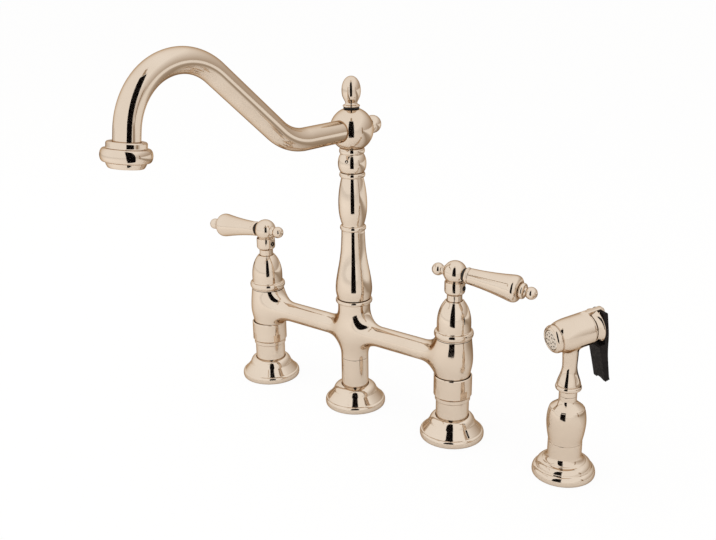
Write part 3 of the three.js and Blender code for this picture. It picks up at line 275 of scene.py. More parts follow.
def uneven(material, pattern, low, high):
    """Lets the roughness wander between two values along a pattern."""
    tree = material.node_tree
    spread = new_node(tree, "ShaderNodeMapRange",
        {"From Min": PALE, "From Max": DARK, "To Min": low, "To Max": high})
    wired(tree, (pattern, "Fac", spread, "Value"),
        (spread, "Result", tree.nodes["Principled BSDF"], "Roughness"))


def grained(material, pattern, depth, strength=1.0):
    """Raises the surface by a pattern, to a depth in metres."""
    tree = material.node_tree
    bump = new_node(tree, "ShaderNodeBump", {"Distance": depth, "Strength": strength})
    wired(tree, (pattern, "Fac", bump, "Height"),
        (bump, "Normal", tree.nodes["Principled BSDF"], "Normal"))


nickel = node_material("polished_nickel_finish", (0.75, 0.64, 0.53), 1.0, 0.08)
nickel_shader = nickel.node_tree.nodes["Principled BSDF"]
nickel_shader.inputs["Specular Tint"].default_value = (0.52, 0.37, 0.24, 1)
tinted(nickel, noise(nickel, 26), (0.735, 0.622, 0.510), (0.775, 0.668, 0.558))
uneven(nickel, noise(nickel, 140, detail=5), 0.055, 0.105)
grained(nickel, noise(nickel, 60, detail=1), 0.00006, 0.25)


def added(name, mesh, body, material=nickel, slot="polished_nickel", shade=True):
    """A finished piece that rides on a body; most are nickel plated."""
    piece = fitted(name, mesh, material, shade)
    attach(piece, body)
    return piece


def finished(node, *making, **settings):
    """The finished piece that stands for a solid."""
    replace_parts(added(f"{node}_finished", *making, **settings), node)


def node_tree(name, sizes):
    """A Geometry Nodes tree with named inputs for its sizes, and its input and output nodes."""
    tree = bpy.data.node_groups.new(name, "GeometryNodeTree")
    tree.interface.new_socket("Geometry", in_out="INPUT", socket_type="NodeSocketGeometry")
    tree.interface.new_socket("Geometry", in_out="OUTPUT", socket_type="NodeSocketGeometry")
    for label, kind in sizes.items():
        tree.interface.new_socket(label, in_out="INPUT", socket_type=f"NodeSocket{kind}")
    return tree, tree.nodes.new("NodeGroupInput"), tree.nodes.new("NodeGroupOutput")


def ended(tree, last, output, given, end):
    """Closes a tree: its instances become real, and the material is set."""
    real = new_node(tree, "GeometryNodeRealizeInstances")
    paint = new_node(tree, "GeometryNodeSetMaterial")
    wired(tree, (last, output, real, "Geometry"), (real, "Geometry", paint, "Geometry"),
          (given, "Material", paint, "Material"), (paint, "Geometry", end, "Geometry"))


def thread_tree():
    """Adds a helical ridge round a shank."""
    tree, given, end = node_tree("cut_thread",
        {"Radius": "Float", "Ridge": "Float", "Turns": "Float", "Length": "Float", "Foot": "Vector",
            "Material": "Material"})
    spiral = new_node(tree, "GeometryNodeCurveSpiral", {"Resolution": 40})
    upright = new_node(tree, "GeometryNodeSetCurveNormal", mode="Z_UP")
    section = new_node(tree, "GeometryNodeCurvePrimitiveCircle", {"Resolution": 4})
    ridge = new_node(tree, "GeometryNodeCurveToMesh", {"Fill Caps": True})
    lift = new_node(tree, "GeometryNodeTransform")
    both = new_node(tree, "GeometryNodeJoinGeometry")
    wired(tree, (given, "Radius", spiral, "Start Radius"), (given, "Radius", spiral, "End Radius"),
          (given, "Turns", spiral, "Rotations"), (given, "Length", spiral, "Height"),
          (given, "Ridge", section, "Radius"), (spiral, "Curve", upright, "Curve"),
          (upright, "Curve", ridge, "Curve"), (section, "Curve", ridge, "Profile Curve"),
          (ridge, "Mesh", lift, "Geometry"), (given, "Foot", lift, "Translation"),
          (lift, "Geometry", both, "Geometry"), (given, "Geometry", both, "Geometry"))
    ended(tree, both, "Geometry", given, end)
    return tree


cut_thread = thread_tree()
THREAD_PITCH = 1.8
RIDGE_SHARE = 0.48     # the ridge's radius as a share of the pitch
THREAD_DEPTH = 1.4
THREAD_START = 1.5     # above the shank's foot
THREAD_END = -1.5      # just under the flange on the deck


def threaded(mesh, radius, foot, top):
    """A shank with its thread, of a given outside radius, between two heights."""
    ridge = THREAD_PITCH * RIDGE_SHARE
    length = top - foot
    return applied(mesh,
        ("NODES", {"node_group": cut_thread, "Radius": radius - ridge, "Ridge": ridge,
            "Turns": length / THREAD_PITCH, "Length": length, "Foot": (0, 0, foot),
            "Material": nickel}))


thread_radii = {"left": 10.45, "right": 10.45, "centre": 8.0, "sprayer": 13.6}
# Bore, sleeve and collar.
leg_radii = {"left": (6.5, 13.6, 14.3), "right": (6.5, 13.6, 14.3), "centre": (4.0, 11.9, 8.0)}
collar_heights = {"left": 3.2, "right": 3.2, "centre": 8}
sleeve_foot = 8.2
for side, (bore, sleeve, collar) in leg_radii.items():
    x, y, foot, top = axis_of(f"{side}_leg")
    core = thread_radii[side] - THREAD_DEPTH
    sleeve_top = top - collar_heights[side]
    bar = turned(outline((bore, foot), (core - 1, foot), (core, foot + 1), (core, sleeve_foot),
            (sleeve - 1, sleeve_foot), (sleeve, sleeve_foot + 1), (sleeve, sleeve_top),
            (collar, sleeve_top), (collar, top), (bore, top)))
    leg = threaded(bar, thread_radii[side], foot + THREAD_START, THREAD_END)
    finished(f"{side}_leg", placed(leg, shift(x, y)), "bridge")


# Clamping washers and lock nuts. A thick rubber washer and a sawn, chamfered brass hexagon pull
# each shank down from under the deck.

rubber = node_material("black_rubber_finish", (0.012, 0.011, 0.010), 0.0, 0.75)
tinted(rubber, noise(rubber, 300), (0.010, 0.009, 0.008), (0.020, 0.018, 0.017))
grained(rubber, noise(rubber, 2600), 0.00012, 0.5)

brass = node_material("raw_brass_finish", (0.60, 0.44, 0.17), 1.0, 0.32)
tinted(brass, noise(brass, 90), (0.52, 0.37, 0.13), (0.66, 0.50, 0.22))
uneven(brass, noise(brass, 500, stretch=(1, 1, 8)), 0.24, 0.42)
grained(brass, noise(brass, 900, stretch=(1, 1, 10)), 0.00004, 0.4)


def cut(mesh, *tools, way="DIFFERENCE", then=()):
    """The mesh with closed tools cut out of it, or kept only inside them, and then modified."""
    cutters = [linked("cutter", tool) for tool in tools]
    cuts = [("BOOLEAN", {"object": cutter, "operation": way, "solver": "EXACT"})
        for cutter in cutters]
    result = applied(mesh, *cuts, *then)
    for cutter in cutters:
        bpy.data.objects.remove(cutter)
    return result


def hexagon_nut(across_flats, hole, height):
    """A hexagon bar with both faces chamfered round, bored and countersunk."""
    corner = across_flats / math.sqrt(3)
    chamfer = 0.9
    bar = bmesh.new()
    bmesh.ops.create_cone(bar, cap_ends=True, segments=6, radius1=corner, radius2=corner,
        depth=height, matrix=shift(z=height / 2) @ turn_about("Z", 30))
    blank = turned(outline((0, 0), (corner - 2 * chamfer, 0), (corner + 0.1, chamfer + 0.2),
            (corner + 0.1, height - chamfer - 0.2), (corner - 2 * chamfer, height), (0, height)),
        ease=0.05)
    drill = turned(outline((0, -1), (hole + 1.6, -1), (hole, 0.6), (hole, height - 0.6),
            (hole + 1.6, height + 1), (0, height + 1)), ease=0.05)
    return cut(cut(mesh_from(bar, "hexagon"), blank, way="INTERSECT"), drill)


for side, shank in thread_radii.items():
    x, y, foot, top = axis_of(f"{side}_deck_washer")
    washer = turned(outline((shank + 0.3, 0), (24.6, 0), (25, 0.5), (25, top - foot - 0.5),
            (24.6, top - foot), (22, top - foot), (21.6, top - foot - 0.4),
            (20.4, top - foot - 0.4), (20, top - foot), (shank + 0.3, top - foot)))
    finished(f"{side}_deck_washer", placed(washer, shift(x, y, foot)), "bridge", rubber,
        "black_rubber")
    x, y, foot, top = axis_of(f"{side}_lock_nut")
    nut = hexagon_nut(across_flats=2 * (shank + 6.5), hole=shank + 0.3, height=top - foot)
    finished(f"{side}_lock_nut", placed(nut, shift(x, y, foot)), "bridge", brass, "raw_brass")


# Flanges. Spun brass bells that drop over the legs and hide the holes in the deck: a rolled rim, a
# cone and a rounded shoulder with a soft lip round the leg.


def flange_bell(neck):
    """Half section of a flange that fits round a neck."""
    return outline((22.4, 0), (24.9, 0), (26.5, 0, 26.5, 3.2), (26.5, 5.9, 24.9, 6.3), (24.5, 6.4),
        (24.2, 6.9), (21.3, 10.4, 19.3, 13.0), (18.5, 16.2, 17.2, 18.0, neck + 1.8, 18.7),
        (neck + 1.0, 19.0), (neck, 19.0), (neck, 15.4), (16.6, 10.4), (22.4, 4.4))


for side, neck in (("left", 13.9), ("right", 13.9), ("centre", 12.2)):
    x, y, foot, _ = axis_of(f"{side}_flange")
    finished(f"{side}_flange", placed(turned(flange_bell(neck)), shift(x, y, foot)), "bridge")


# Union nuts. Round nuts that pull the legs up to the bridge, each with four spanner notches milled
# across the lower edge of its full-size part.


def notch_tree():
    """Mills flat notches, evenly spaced, out of a turned piece."""
    tree, given, end = node_tree("mill_notches",
        {"Count": "Int", "Circle": "Float", "Notch": "Vector", "Height": "Vector", "Turn": "Float",
            "Material": "Material"})
    around = new_node(tree, "GeometryNodeMeshCircle")
    cutter = new_node(tree, "GeometryNodeMeshCube")
    number = new_node(tree, "GeometryNodeInputIndex")
    share = new_node(tree, "ShaderNodeMath", operation="DIVIDE")
    angle = new_node(tree, "ShaderNodeMath", {1: 2 * math.pi}, operation="MULTIPLY")
    facing = new_node(tree, "ShaderNodeCombineXYZ")
    copies = new_node(tree, "GeometryNodeInstanceOnPoints")
    real = new_node(tree, "GeometryNodeRealizeInstances")
    turn = new_node(tree, "ShaderNodeCombineXYZ")
    lift = new_node(tree, "GeometryNodeTransform")
    mill = new_node(tree, "GeometryNodeMeshBoolean", operation="DIFFERENCE", solver="EXACT")
    wired(tree, (given, "Count", around, "Vertices"), (given, "Circle", around, "Radius"),
        (given, "Notch", cutter, "Size"), (number, "Index", share, 0), (given, "Count", share, 1),
        (share, "Value", angle, 0), (angle, "Value", facing, "Z"),
        (around, "Mesh", copies, "Points"), (cutter, "Mesh", copies, "Instance"),
        (facing, "Vector", copies, "Rotation"), (copies, "Instances", real, "Geometry"),
        (real, "Geometry", lift, "Geometry"), (given, "Turn", turn, "Z"),
        (turn, "Vector", lift, "Rotation"), (given, "Height", lift, "Translation"),
        (given, "Geometry", mill, "Mesh 1"), (lift, "Geometry", mill, "Mesh 2"))
    ended(tree, mill, "Mesh", given, end)
    return tree


mill_notches = notch_tree()
nut_radius = 15.7
notch_depth = 0.9
notch_turn = -22     # degrees from the bridge's line to the first notch
for side in ("left", "right"):
    x, y, foot, top = axis_of(f"{side}_union_nut")
    height = top - foot
    blank = turned(outline((13.9, 0), (14.1, 0), (14.5, 0.5), (14.6, 3.4), (15.3, 4.2),
            (nut_radius, 5.0), (nut_radius, height - 0.7), (15.1, height), (14.6, height),
            (14.6, 4.6), (13.9, 3.6)))
    nut = applied(blank,
        ("NODES", {"node_group": mill_notches, "Count": 4, "Circle": nut_radius,
            "Notch": (2 * notch_depth, 6.8, 7.5), "Height": (0, 0, 7.6),
            "Turn": math.radians(notch_turn), "Material": nickel}))
    finished(f"{side}_union_nut", placed(nut, shift(x, y, foot)), "bridge")


# Bridge. One brass casting: two barrel-shaped valve bodies and a middle hub, joined by round arms
# that swell like trumpets into all three. It is ground and polished until no seam shows, and a flat
# ring tops the hub.


def melted(a, b, radius):
    """Two distance fields joined with a fillet."""
    share = np.clip(0.5 + 0.5 * (b - a) / radius, 0, 1)
    return b * (1 - share) + a * share - radius * share * (1 - share)


def slope(field, points, step=0.05):
    """The direction in which a field grows, at each point."""
    rise = [field(points + step * axis) - field(points - step * axis) for axis in np.eye(3)]
    return np.stack(rise, axis=1) / (2 * step)


RELAX_PASSES, SETTLE_PASSES = 10, 4
SAWN = 0.01            # how near a sawn rim lies to its plane
CAP_CORNERS = 8        # a face with more corners than this is a sawn end


def cast(shells, field, cell, cuts):
    """Melts rough shells together, saws the ends flat and draws every point onto the field.

    A cut is a plane's point and outward normal, and a test of which places it may saw."""
    rough = applied(fused(*shells), ("REMESH", {"mode": "VOXEL", "voxel_size": cell}))
    body = bmesh.new()
    body.from_mesh(rough)
    for origin, normal, near in cuts:
        faces = [f for f in body.faces if near(f.calc_center_median())]
        edges = dict.fromkeys(e for f in faces for e in f.edges)
        corners = dict.fromkeys(v for f in faces for v in f.verts)
        bmesh.ops.bisect_plane(body, geom=[*corners, *edges, *faces], plane_co=origin,
            plane_no=normal, dist=1e-4, clear_outer=True)
    body.verts.ensure_lookup_table()
    body.verts.index_update()
    points = np.array([v.co for v in body.verts])
    pairs = np.array([[v.index for v in e.verts] for e in body.edges])
    counts = np.bincount(pairs.ravel(), minlength=len(points))[:, None]
    sawn = []
    for origin, normal, near in cuts:
        rim = [v.index for v in body.verts if v.is_boundary and near(v.co)
            and abs((v.co - Vector(origin)).dot(Vector(normal))) < SAWN]
        sawn.append((np.array(rim, int), np.array(origin, float), np.array(normal, float)))
    fixed = np.zeros(len(points), bool)
    for rim, _, _ in sawn:
        fixed[rim] = True

    def onto_field():
        direction = slope(field, points)
        points[:] -= (field(points) / np.sum(direction ** 2, axis=1))[:, None] * direction
        for rim, origin, normal in sawn:
            points[rim] -= ((points[rim] - origin) @ normal)[:, None] * normal

    for _ in range(RELAX_PASSES):
        sums = np.zeros_like(points)
        np.add.at(sums, pairs[:, 0], points[pairs[:, 1]])
        np.add.at(sums, pairs[:, 1], points[pairs[:, 0]])
        relaxed = points + 0.5 * (sums / counts - points)
        points[~fixed] = relaxed[~fixed]
        onto_field()
    for _ in range(SETTLE_PASSES):
        onto_field()
    for vertex, place in zip(body.verts, points):
        vertex.co = place
    bmesh.ops.holes_fill(body, edges=[e for e in body.edges if e.is_boundary], sides=0)
    bmesh.ops.recalc_face_normals(body, faces=body.faces)
    mesh = mesh_from(body, "casting")
    mesh.polygons.foreach_set("use_smooth", [True] * len(mesh.polygons))
    skin = slope(field, points)
    skin /= np.linalg.norm(skin, axis=1)[:, None]
    normals = [None] * len(mesh.loops)
    for polygon in mesh.polygons:
        flat = len(polygon.vertices) > CAP_CORNERS
        for loop in polygon.loop_indices:
            normals[loop] = polygon.normal if flat else skin[mesh.loops[loop].vertex_index]
    mesh.normals_split_custom_set(normals)
    return mesh


def radius_along(points):
    """The radius of an outline as a function of the height."""
    radii, heights = zip(*points)
    return lambda z: np.interp(z, heights, radii)


valve_x = axis_of("right_bonnet")[0]
joint_gap = 0.3
spigot_length = 7.7    # how far the centre leg reaches up into the hub
hub_foot = axis_of("centre_leg")[3] - spigot_length
hub_top = axis_of("column")[2] - joint_gap
body_foot = axis_of("right_union_nut")[3] + joint_gap
body_top = axis_of("right_bonnet")[2] - joint_gap
arm_z = body_foot + 14
arm_radius = 8.85
arm_end = 8            # an arm ends this far before the valve's axis
hub_ring = hub_top - 3.4
fillet = 15
body_outline = outline((14.0, body_foot - 4), (14.0, body_foot),
    (14.6, body_foot + 5, 16.0, body_foot + 8, 16.0, body_foot + 14),
    (16.0, body_foot + 20, 15.2, body_foot + 27, 14.6, body_top), (14.6, body_top + 4), steps=40)
hub_outline = outline((11.9, hub_foot - 4), (11.9, hub_foot),
    (11.9, hub_foot + 10, 13.4, arm_z - 8, 13.6, arm_z),
    (13.7, arm_z + 10, 13.9, hub_ring - 6, 13.9, hub_ring), (13.9, hub_ring + 4), steps=40)
body_radius = radius_along(body_outline)
hub_radius = radius_along(hub_outline)


def bridge_field(p):
    """Distance outside the casting's skin."""
    x, y, z = p.T
    valve = np.hypot(np.abs(x) - valve_x, y) - body_radius(z)
    middle = np.hypot(x, y) - hub_radius(z)
    past = np.maximum(np.abs(x) - valve_x + arm_end, 0)
    arm = np.sqrt(y ** 2 + (z - arm_z) ** 2 + past ** 2) - arm_radius
    return melted(melted(middle, arm, fillet), valve, fillet)


def closed_rod(points):
    """A rough rod from the axis, round an outline and back to it."""
    return turned([(0, points[0][1]), *points, (0, points[-1][1])])


arm_rod = placed(closed_rod([(arm_radius, -valve_x), (arm_radius, valve_x)]), turn_about("Y", 90),
    shift(z=arm_z))
rough_shells = [arm_rod, closed_rod(hub_outline), placed(closed_rod(body_outline), shift(valve_x)),
    placed(closed_rod(body_outline), shift(-valve_x))]


def at_valve(place):
    return abs(place.x) > valve_x / 2


def at_hub(place):
    return abs(place.x) < valve_x / 2


casting = cast(rough_shells, bridge_field, cell=1.15, cuts=[
    ((0, 0, body_foot), (0, 0, -1), at_valve), ((0, 0, body_top), (0, 0, 1), at_valve),
    ((0, 0, hub_foot), (0, 0, -1), at_hub), ((0, 0, hub_ring), (0, 0, 1), at_hub)])
finished("bridge_body", casting, "bridge", shade=False)
ring = turned([(0, hub_ring - 1), (13.2, hub_ring - 1), (13.2, hub_ring),
        *bead(14.8, 15.8, hub_ring, hub_top), (0, hub_top)])
added("bridge_hub_ring", ring, "bridge")


# Cartridges and stems. Quarter-turn brass cartridges and their stems sit inside the valve bodies,
# so the solids stay as they are, in bare machined brass.


def painted(node, material):
    """A finish for a solid that stays."""
    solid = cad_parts[node]
    for place in solid.material_slots:
        place.material = material


for side in ("left", "right"):
    painted(f"{side}_cartridge", brass)
    painted(f"{side}_stem", brass)


# Bonnets. Bells that screw down on the valve bodies: a fat bead over a thin band, a short barrel
# and a dome that closes in on the handle's neck.

for side in ("left", "right"):
    x, y, foot, top = axis_of(f"{side}_bonnet")
    high = top - foot
    bell = turned([*outline((11.7, 0), (14.4, 0), (14.9, 0.3), (14.9, 0.9)),
            *bead(14.6, 16.0, 1.1, 6.4),
            *outline((14.2, 6.5), (13.75, 7.0), (13.85, 10.5, 13.9, 12.5, 13.7, 15.4),
            (13.3, 20.5, 11.6, 26.5, 8.3, high - 1.2), (7.7, high - 0.2, 7.2, high), (6.45, high),
            (6.45, high - 3), (11.7, 16))])
    finished(f"{side}_bonnet", placed(bell, shift(x, y, foot)), "bridge")


# Handles. Each hub is one turning of neck, cup and ball. A small ball balances the lever, a black
# rubber ring seals the lever's root, and the lever itself is a long flared barrel that ends in a
# ring and a little ball.

steel = node_material("black_steel_finish", (0.02, 0.018, 0.017), 1.0, 0.4)
tinted(steel, noise(steel, 400), (0.015, 0.013, 0.012), (0.035, 0.031, 0.028))
uneven(steel, noise(steel, 900), 0.32, 0.5)

ball_radius = 9.5
droop = 4.5                               # degrees that the levers hang below level
handle_turns = {"left": 180, "right": 4}  # degrees from the bridge's line
screw_sides = {"left": 0, "right": 4}     # where the set screws face, in the same degrees
lever_foot, barrel_end = 9.87, 55.97      # along the lever, from the ball's middle
plated, blackened = (nickel, "polished_nickel"), (steel, "black_steel")


def handle_hub(neck_foot, cup_foot, ball_z):
    """Neck, cup and ball, as a half section."""
    return [*outline((0, neck_foot), (6.15, neck_foot), (6.15, cup_foot - 1.2),
            (6.2, cup_foot, 8.3, cup_foot - 0.2, 8.3, cup_foot + 2.6), (8.3, cup_foot + 8.6),
            (8.2, cup_foot + 9.9), (6.9, cup_foot + 10.4)),
        *arc(ball_radius, ball_z, -43.5, 90, steps=44)]


def counter_knob():
    """Small ball on a neck, from inside the hub's ball outwards."""
    return [*outline((0, 7.6), (4.4, 7.6), (4.4, 9.2), (3.5, 9.8), (3.3, 10.9)),
            *arc(5.1, 15.2, -51, 90, steps=30)]


def lever_barrel(foot, end):
    """Root collars, flare and rounded shoulder."""
    return outline((0, foot), (5.8, foot), (6.5, foot + 0.2, 6.7, foot + 1.5), (6.6, foot + 2.2),
        (6.0, foot + 2.7), (6.1, foot + 3.2), (6.55, foot + 3.8),
        (6.9, foot + 14, 8.3, end - 20, 10.2, end - 9),
        (10.5, end - 7.4, 10.7, end - 6.2, 10.7, end - 4.8),
        (10.7, end - 1.9, 9.0, end - 0.2, 6.4, end), (0, end))


def lever_end(foot):
    """Ring, neck and end ball."""
    return [*outline((0, foot), (5.7, foot)), *bead(5.5, 6.3, foot + 0.1, foot + 3.5),
            *outline((4.2, foot + 3.6), (3.4, foot + 4.0), (3.3, foot + 5.1)),
            *arc(4.9, foot + 8.8, -46, 90, steps=30)]


def hex_socket_screw(radius, length, key):
    """Set screw along +Z with a hexagon socket in its outer end."""
    socket = bmesh.new()
    bmesh.ops.create_cone(socket, cap_ends=True, segments=6, radius1=key, radius2=key, depth=2.4,
        matrix=shift(z=length))
    blank = turned(outline((0, 0), (radius - 0.4, 0), (radius, 0.4), (radius, length - 0.3),
            (radius - 0.3, length), (0, length)), ease=0.05)
    return cut(blank, mesh_from(socket, "socket"))


along_x = turn_about("Y", 90)
for side, turn in handle_turns.items():
    x, y, _, bonnet_top = axis_of(f"{side}_bonnet")
    neck_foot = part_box(f"{side}_handle_hub")[0].z / MM
    ball_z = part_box(f"{side}_handle_hub")[1].z / MM - ball_radius
    cup_foot = bonnet_top + 6
    stand = (turn_about("Z", turn), shift(x, y))
    hang = (along_x, turn_about("Y", droop), shift(z=ball_z), *stand)
    screw_turn = turn_about("Z", screw_sides[side] - turn)
    shapes = {
        "handle_hub": (turned(handle_hub(neck_foot, cup_foot, ball_z)), stand, plated),
        "handle_knob": (turned(counter_knob()), (turn_about("Y", -90), shift(z=ball_z), *stand),
                        plated),
        "handle_screw": (hex_socket_screw(radius=2.1, length=4.2, key=1.15),
                         (along_x, shift(4.6), screw_turn, shift(z=cup_foot + 5.2), *stand),
                         blackened),
        "lever_ring": (turned([(2.7, 7.9), *bead(4.6, 5.6, 7.95, 9.55), (2.7, 9.6)]), hang,
                       (rubber, "black_rubber")),
        "lever": (turned(lever_barrel(lever_foot, barrel_end)), hang, plated),
        "lever_tip": (turned(lever_end(barrel_end + 0.3)), hang, plated),
    }
    for part, (mesh, moves, finish) in shapes.items():
        finished(f"{side}_{part}", placed(mesh, *moves), f"{side}_handle", *finish)


# Column. A tall baluster turned from one bar: a long lower vase, a ring, an upper vase, a second
# ring and the hollow post that the spout turns on. A plastic bush and the diverter's three pieces
# are hidden in it.

x, y, foot, top = axis_of("column")
high = top - foot
bead_one = 60.7
vase = bead_one + 4.2
bead_two = vase + 41.2
post_foot = bead_two + 4.2
baluster = turned([*outline((7.8, 0), (13.7, 0), (14.5, 0.6), (14.9, 2.4, 15.7, 5, 15.7, 8.6),
        (15.6, 20, 10.9, 32, 10.25, 50), (10.1, 54, 9.9, bead_one - 4, 9.9, bead_one - 1.1),
        (9.6, bead_one)), *bead(9.9, 11.0, bead_one + 0.1, vase - 0.1),
        *outline((9.5, vase), (9.5, vase + 1.0),
        (11.2, vase + 6.6, 12.1, vase + 11, 12.1, vase + 18.6),
        (12.1, vase + 27, 10.6, bead_two - 6, 9.4, bead_two - 1.0), (9.2, bead_two)),
        *bead(9.7, 10.8, bead_two + 0.1, post_foot - 0.1),
        *outline((7.6, post_foot), (7.6, high - 0.4), (7.2, high), (3.8, high), (3.8, high - 1.8),
        (5.6, high - 1.8), (5.6, 71), (7.8, 68))])
finished("column", placed(baluster, shift(x, y, foot)), "bridge")

acetal = node_material("white_acetal_finish", (0.80, 0.79, 0.74), 0.0, 0.42)
tinted(acetal, noise(acetal, 120), (0.77, 0.76, 0.71), (0.83, 0.82, 0.78))
grained(acetal, noise(acetal, 1800), 0.00005, 0.4)

spring_steel = node_material("spring_steel_finish", (0.45, 0.45, 0.45), 1.0, 0.28)
tinted(spring_steel, noise(spring_steel, 700), (0.40, 0.40, 0.41), (0.52, 0.51, 0.50))
uneven(spring_steel, noise(spring_steel, 1500), 0.2, 0.36)

for node in ("swivel_bush", "diverter_seat", "diverter_piston"):
    painted(node, acetal)
painted("diverter_spring", spring_steel)


# Spout base and its set screw. A bulb and a collar turn on the column's post, held by a small black
# screw in the bulb.

x, y, foot, top = axis_of("spout_base")
high = top - foot
collar = 15.4
swivel = turned([*outline((9.3, 0), (9.8, 0), (10.2, 0.6),
        (12.1, 3.2, 12.6, 9.6, 10.2, collar - 1.4), (9.6, collar - 0.6)),
        *bead(9.5, 10.6, collar - 0.1, high - 0.1), (9.3, high)])
finished("spout_base", placed(swivel, shift(x, y, foot)), "spout")

screw_place = (shift(z=9.4), along_x, shift(z=foot + 10.2), turn_about("Z", -75))
screw = placed(hex_socket_screw(radius=1.5, length=2.3, key=0.8), *screw_place)
finished("spout_screw", screw, "spout", steel, "black_steel")


# Spout hub, rear knob, gasket and finial. A hollow ball carries the tube in front, a small ball
# behind and, over a thin black gasket, the turned finial whose stud clamps it all.

hub_ball, ball_rise, seat_radius = 18, 14.6, 7
ball_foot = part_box("spout_hub")[0].z / MM
hub_z = ball_foot + ball_rise
finial_seat = math.degrees(math.acos(seat_radius / hub_ball))
low_angle = -math.degrees(math.asin(ball_rise / hub_ball))
shell = turned([(0, ball_foot), (9.6, ball_foot), *arc(hub_ball, hub_z, low_angle, finial_seat,
        steps=56), (0, hub_z + hub_ball * math.sin(math.radians(finial_seat)))])
finished("spout_hub", shell, "spout")

knob = turned([*outline((0, 17.2), (5.2, 17.2), (5.2, 18.2), (4.4, 18.9), (4.2, 20.6)),
               *arc(7.5, 28, -56, 90, steps=36)])
finished("rear_knob", placed(knob, turn_about("X", -90), shift(z=hub_z)), "spout")

_, _, foot, top = axis_of("finial_gasket")
seal = turned([(2.8, foot), *bead(6.1, 6.5, foot, top), (2.8, top)])
finished("finial_gasket", seal, "spout", rubber, "black_rubber")

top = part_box("finial")[1].z / MM
foot = top - 24.6
middle = foot + 12.6
acorn = turned([*outline((0, foot - 5), (2.5, foot - 5), (2.5, foot), (6.2, foot)),
        *bead(6.3, 7.0, foot, foot + 1.5),
        *outline((6.0, foot + 1.7), (5.0, foot + 2.1, 4.9, foot + 3.4),
        (6.0, middle - 6.4, 7.8, middle - 5, 7.8, middle + 0.4),
        (7.8, middle + 6.4, 4.9, top, 0, top))])
finished("finial", acorn, "spout")


# Spout tube. A brass tube bent in one plane: a level stub, a rising bend, a straight rise, a round
# crown and the nose that turns down to the outlet. It is brazed into the hub and polished all over.

tube_radius = 9
tube_wall = 1.3
tube_start = 8         # how far in front of the hub's axis it starts
heading = math.radians(1.35)


def forward(angle):
    """Direction in the spout's plane: 0 to the front, a right angle up."""
    return Vector((0, -math.cos(angle), math.sin(angle)))


at = Vector((0, 0, hub_z)) + forward(heading) * tube_start
route = [(at, heading)]
for kind, size, turn, steps in (("straight", 50.3, 0, 10), ("bend", 53.6, 38.15, 40),
        ("straight", 75, 0, 14), ("bend", 51, -59.5, 60), ("bend", 44, -62, 56),
        ("straight", 9.2, 0, 4)):
    sweep = math.radians(turn)
    for step in range(1, steps + 1):
        share = step / steps
        half = sweep * share / 2
        reach = 2 * size * math.sin(abs(half)) if kind == "bend" else size * share
        route.append((at + forward(heading + half) * reach, heading + sweep * share))
    at, heading = route[-1]
outlet, outlet_heading = at, heading

tube = bmesh.new()
tube_sides = 72
rings = []
for place, angle in route:
    up = Vector((0, math.sin(angle), math.cos(angle)))
    across = Vector((1, 0, 0))
    directions = [across * math.cos(a) + up * math.sin(a)
        for a in np.linspace(0, 2 * math.pi, tube_sides + 1)[:-1]]
    rings.append([[tube.verts.new(place + d * r) for d in directions]
            for r in (tube_radius, tube_radius - tube_wall)])
strips = [(first[wall], second[wall]) for first, second in zip(rings, rings[1:]) for wall in (0, 1)]
for near, far in (*strips, rings[0], rings[-1]):
    for k in range(tube_sides):
        n = (k + 1) % tube_sides
        tube.faces.new((near[k], near[n], far[n], far[k]))
bmesh.ops.recalc_face_normals(tube, faces=tube.faces)
finished("spout_tube", mesh_from(tube, "tube"), "spout")


# Aerator. A collar, a fat bead and a tapered cup screw over the tube's end; inside sits a white
# plastic jet former, drilled with a ring of holes.


def drill_tree():
    """Drills one ring of holes right through a piece, along +Z."""
    tree, given, end = node_tree("drill_ring", {"Count": "Int", "Circle": "Float", "Hole": "Float",
            "Height": "Float", "Middle": "Vector", "Material": "Material"})
    around = new_node(tree, "GeometryNodeMeshCircle")
    drill = new_node(tree, "GeometryNodeMeshCylinder", {"Vertices": 20})
    copies = new_node(tree, "GeometryNodeInstanceOnPoints")
    lift = new_node(tree, "GeometryNodeTransform")
    real = new_node(tree, "GeometryNodeRealizeInstances")
    bore = new_node(tree, "GeometryNodeMeshBoolean", operation="DIFFERENCE", solver="EXACT")
    wired(tree, (given, "Count", around, "Vertices"), (given, "Circle", around, "Radius"),
          (given, "Hole", drill, "Radius"), (given, "Height", drill, "Depth"),
          (around, "Mesh", copies, "Points"), (drill, "Mesh", copies, "Instance"),
          (copies, "Instances", real, "Geometry"), (real, "Geometry", lift, "Geometry"),
          (given, "Middle", lift, "Translation"), (given, "Geometry", bore, "Mesh 1"),
          (lift, "Geometry", bore, "Mesh 2"))
    ended(tree, bore, "Mesh", given, end)
    return tree


drill_ring = drill_tree()


def drilled(mesh, count, circle, hole, low, high, material):
    """The piece with a ring of holes."""
    return applied(mesh,
        ("NODES", {"node_group": drill_ring, "Count": count, "Circle": circle, "Hole": hole,
            "Height": high - low + 2, "Middle": (0, 0, (low + high) / 2), "Material": material}))


to_outlet = (turn_about("X", -math.degrees(outlet_heading) - 90), shift(*outlet))
cup = turned([*outline((9.8, -14.8), (11.0, -14.8), (11.7, -14.6, 12.3, -13.4, 13.1, -11.4),
        (13.6, -11.1)), *bead(14.4, 16.7, -11.0, -2.2),
        *outline((13.6, -2.1), (13.1, -1.6), (13.1, 1.2), (12.3, 2.0), (9.3, 2.0), (9.3, -0.3),
        (7.7, -0.3), (7.7, -2), (9.8, -3))])
finished("aerator_shell", placed(cup, *to_outlet), "spout")

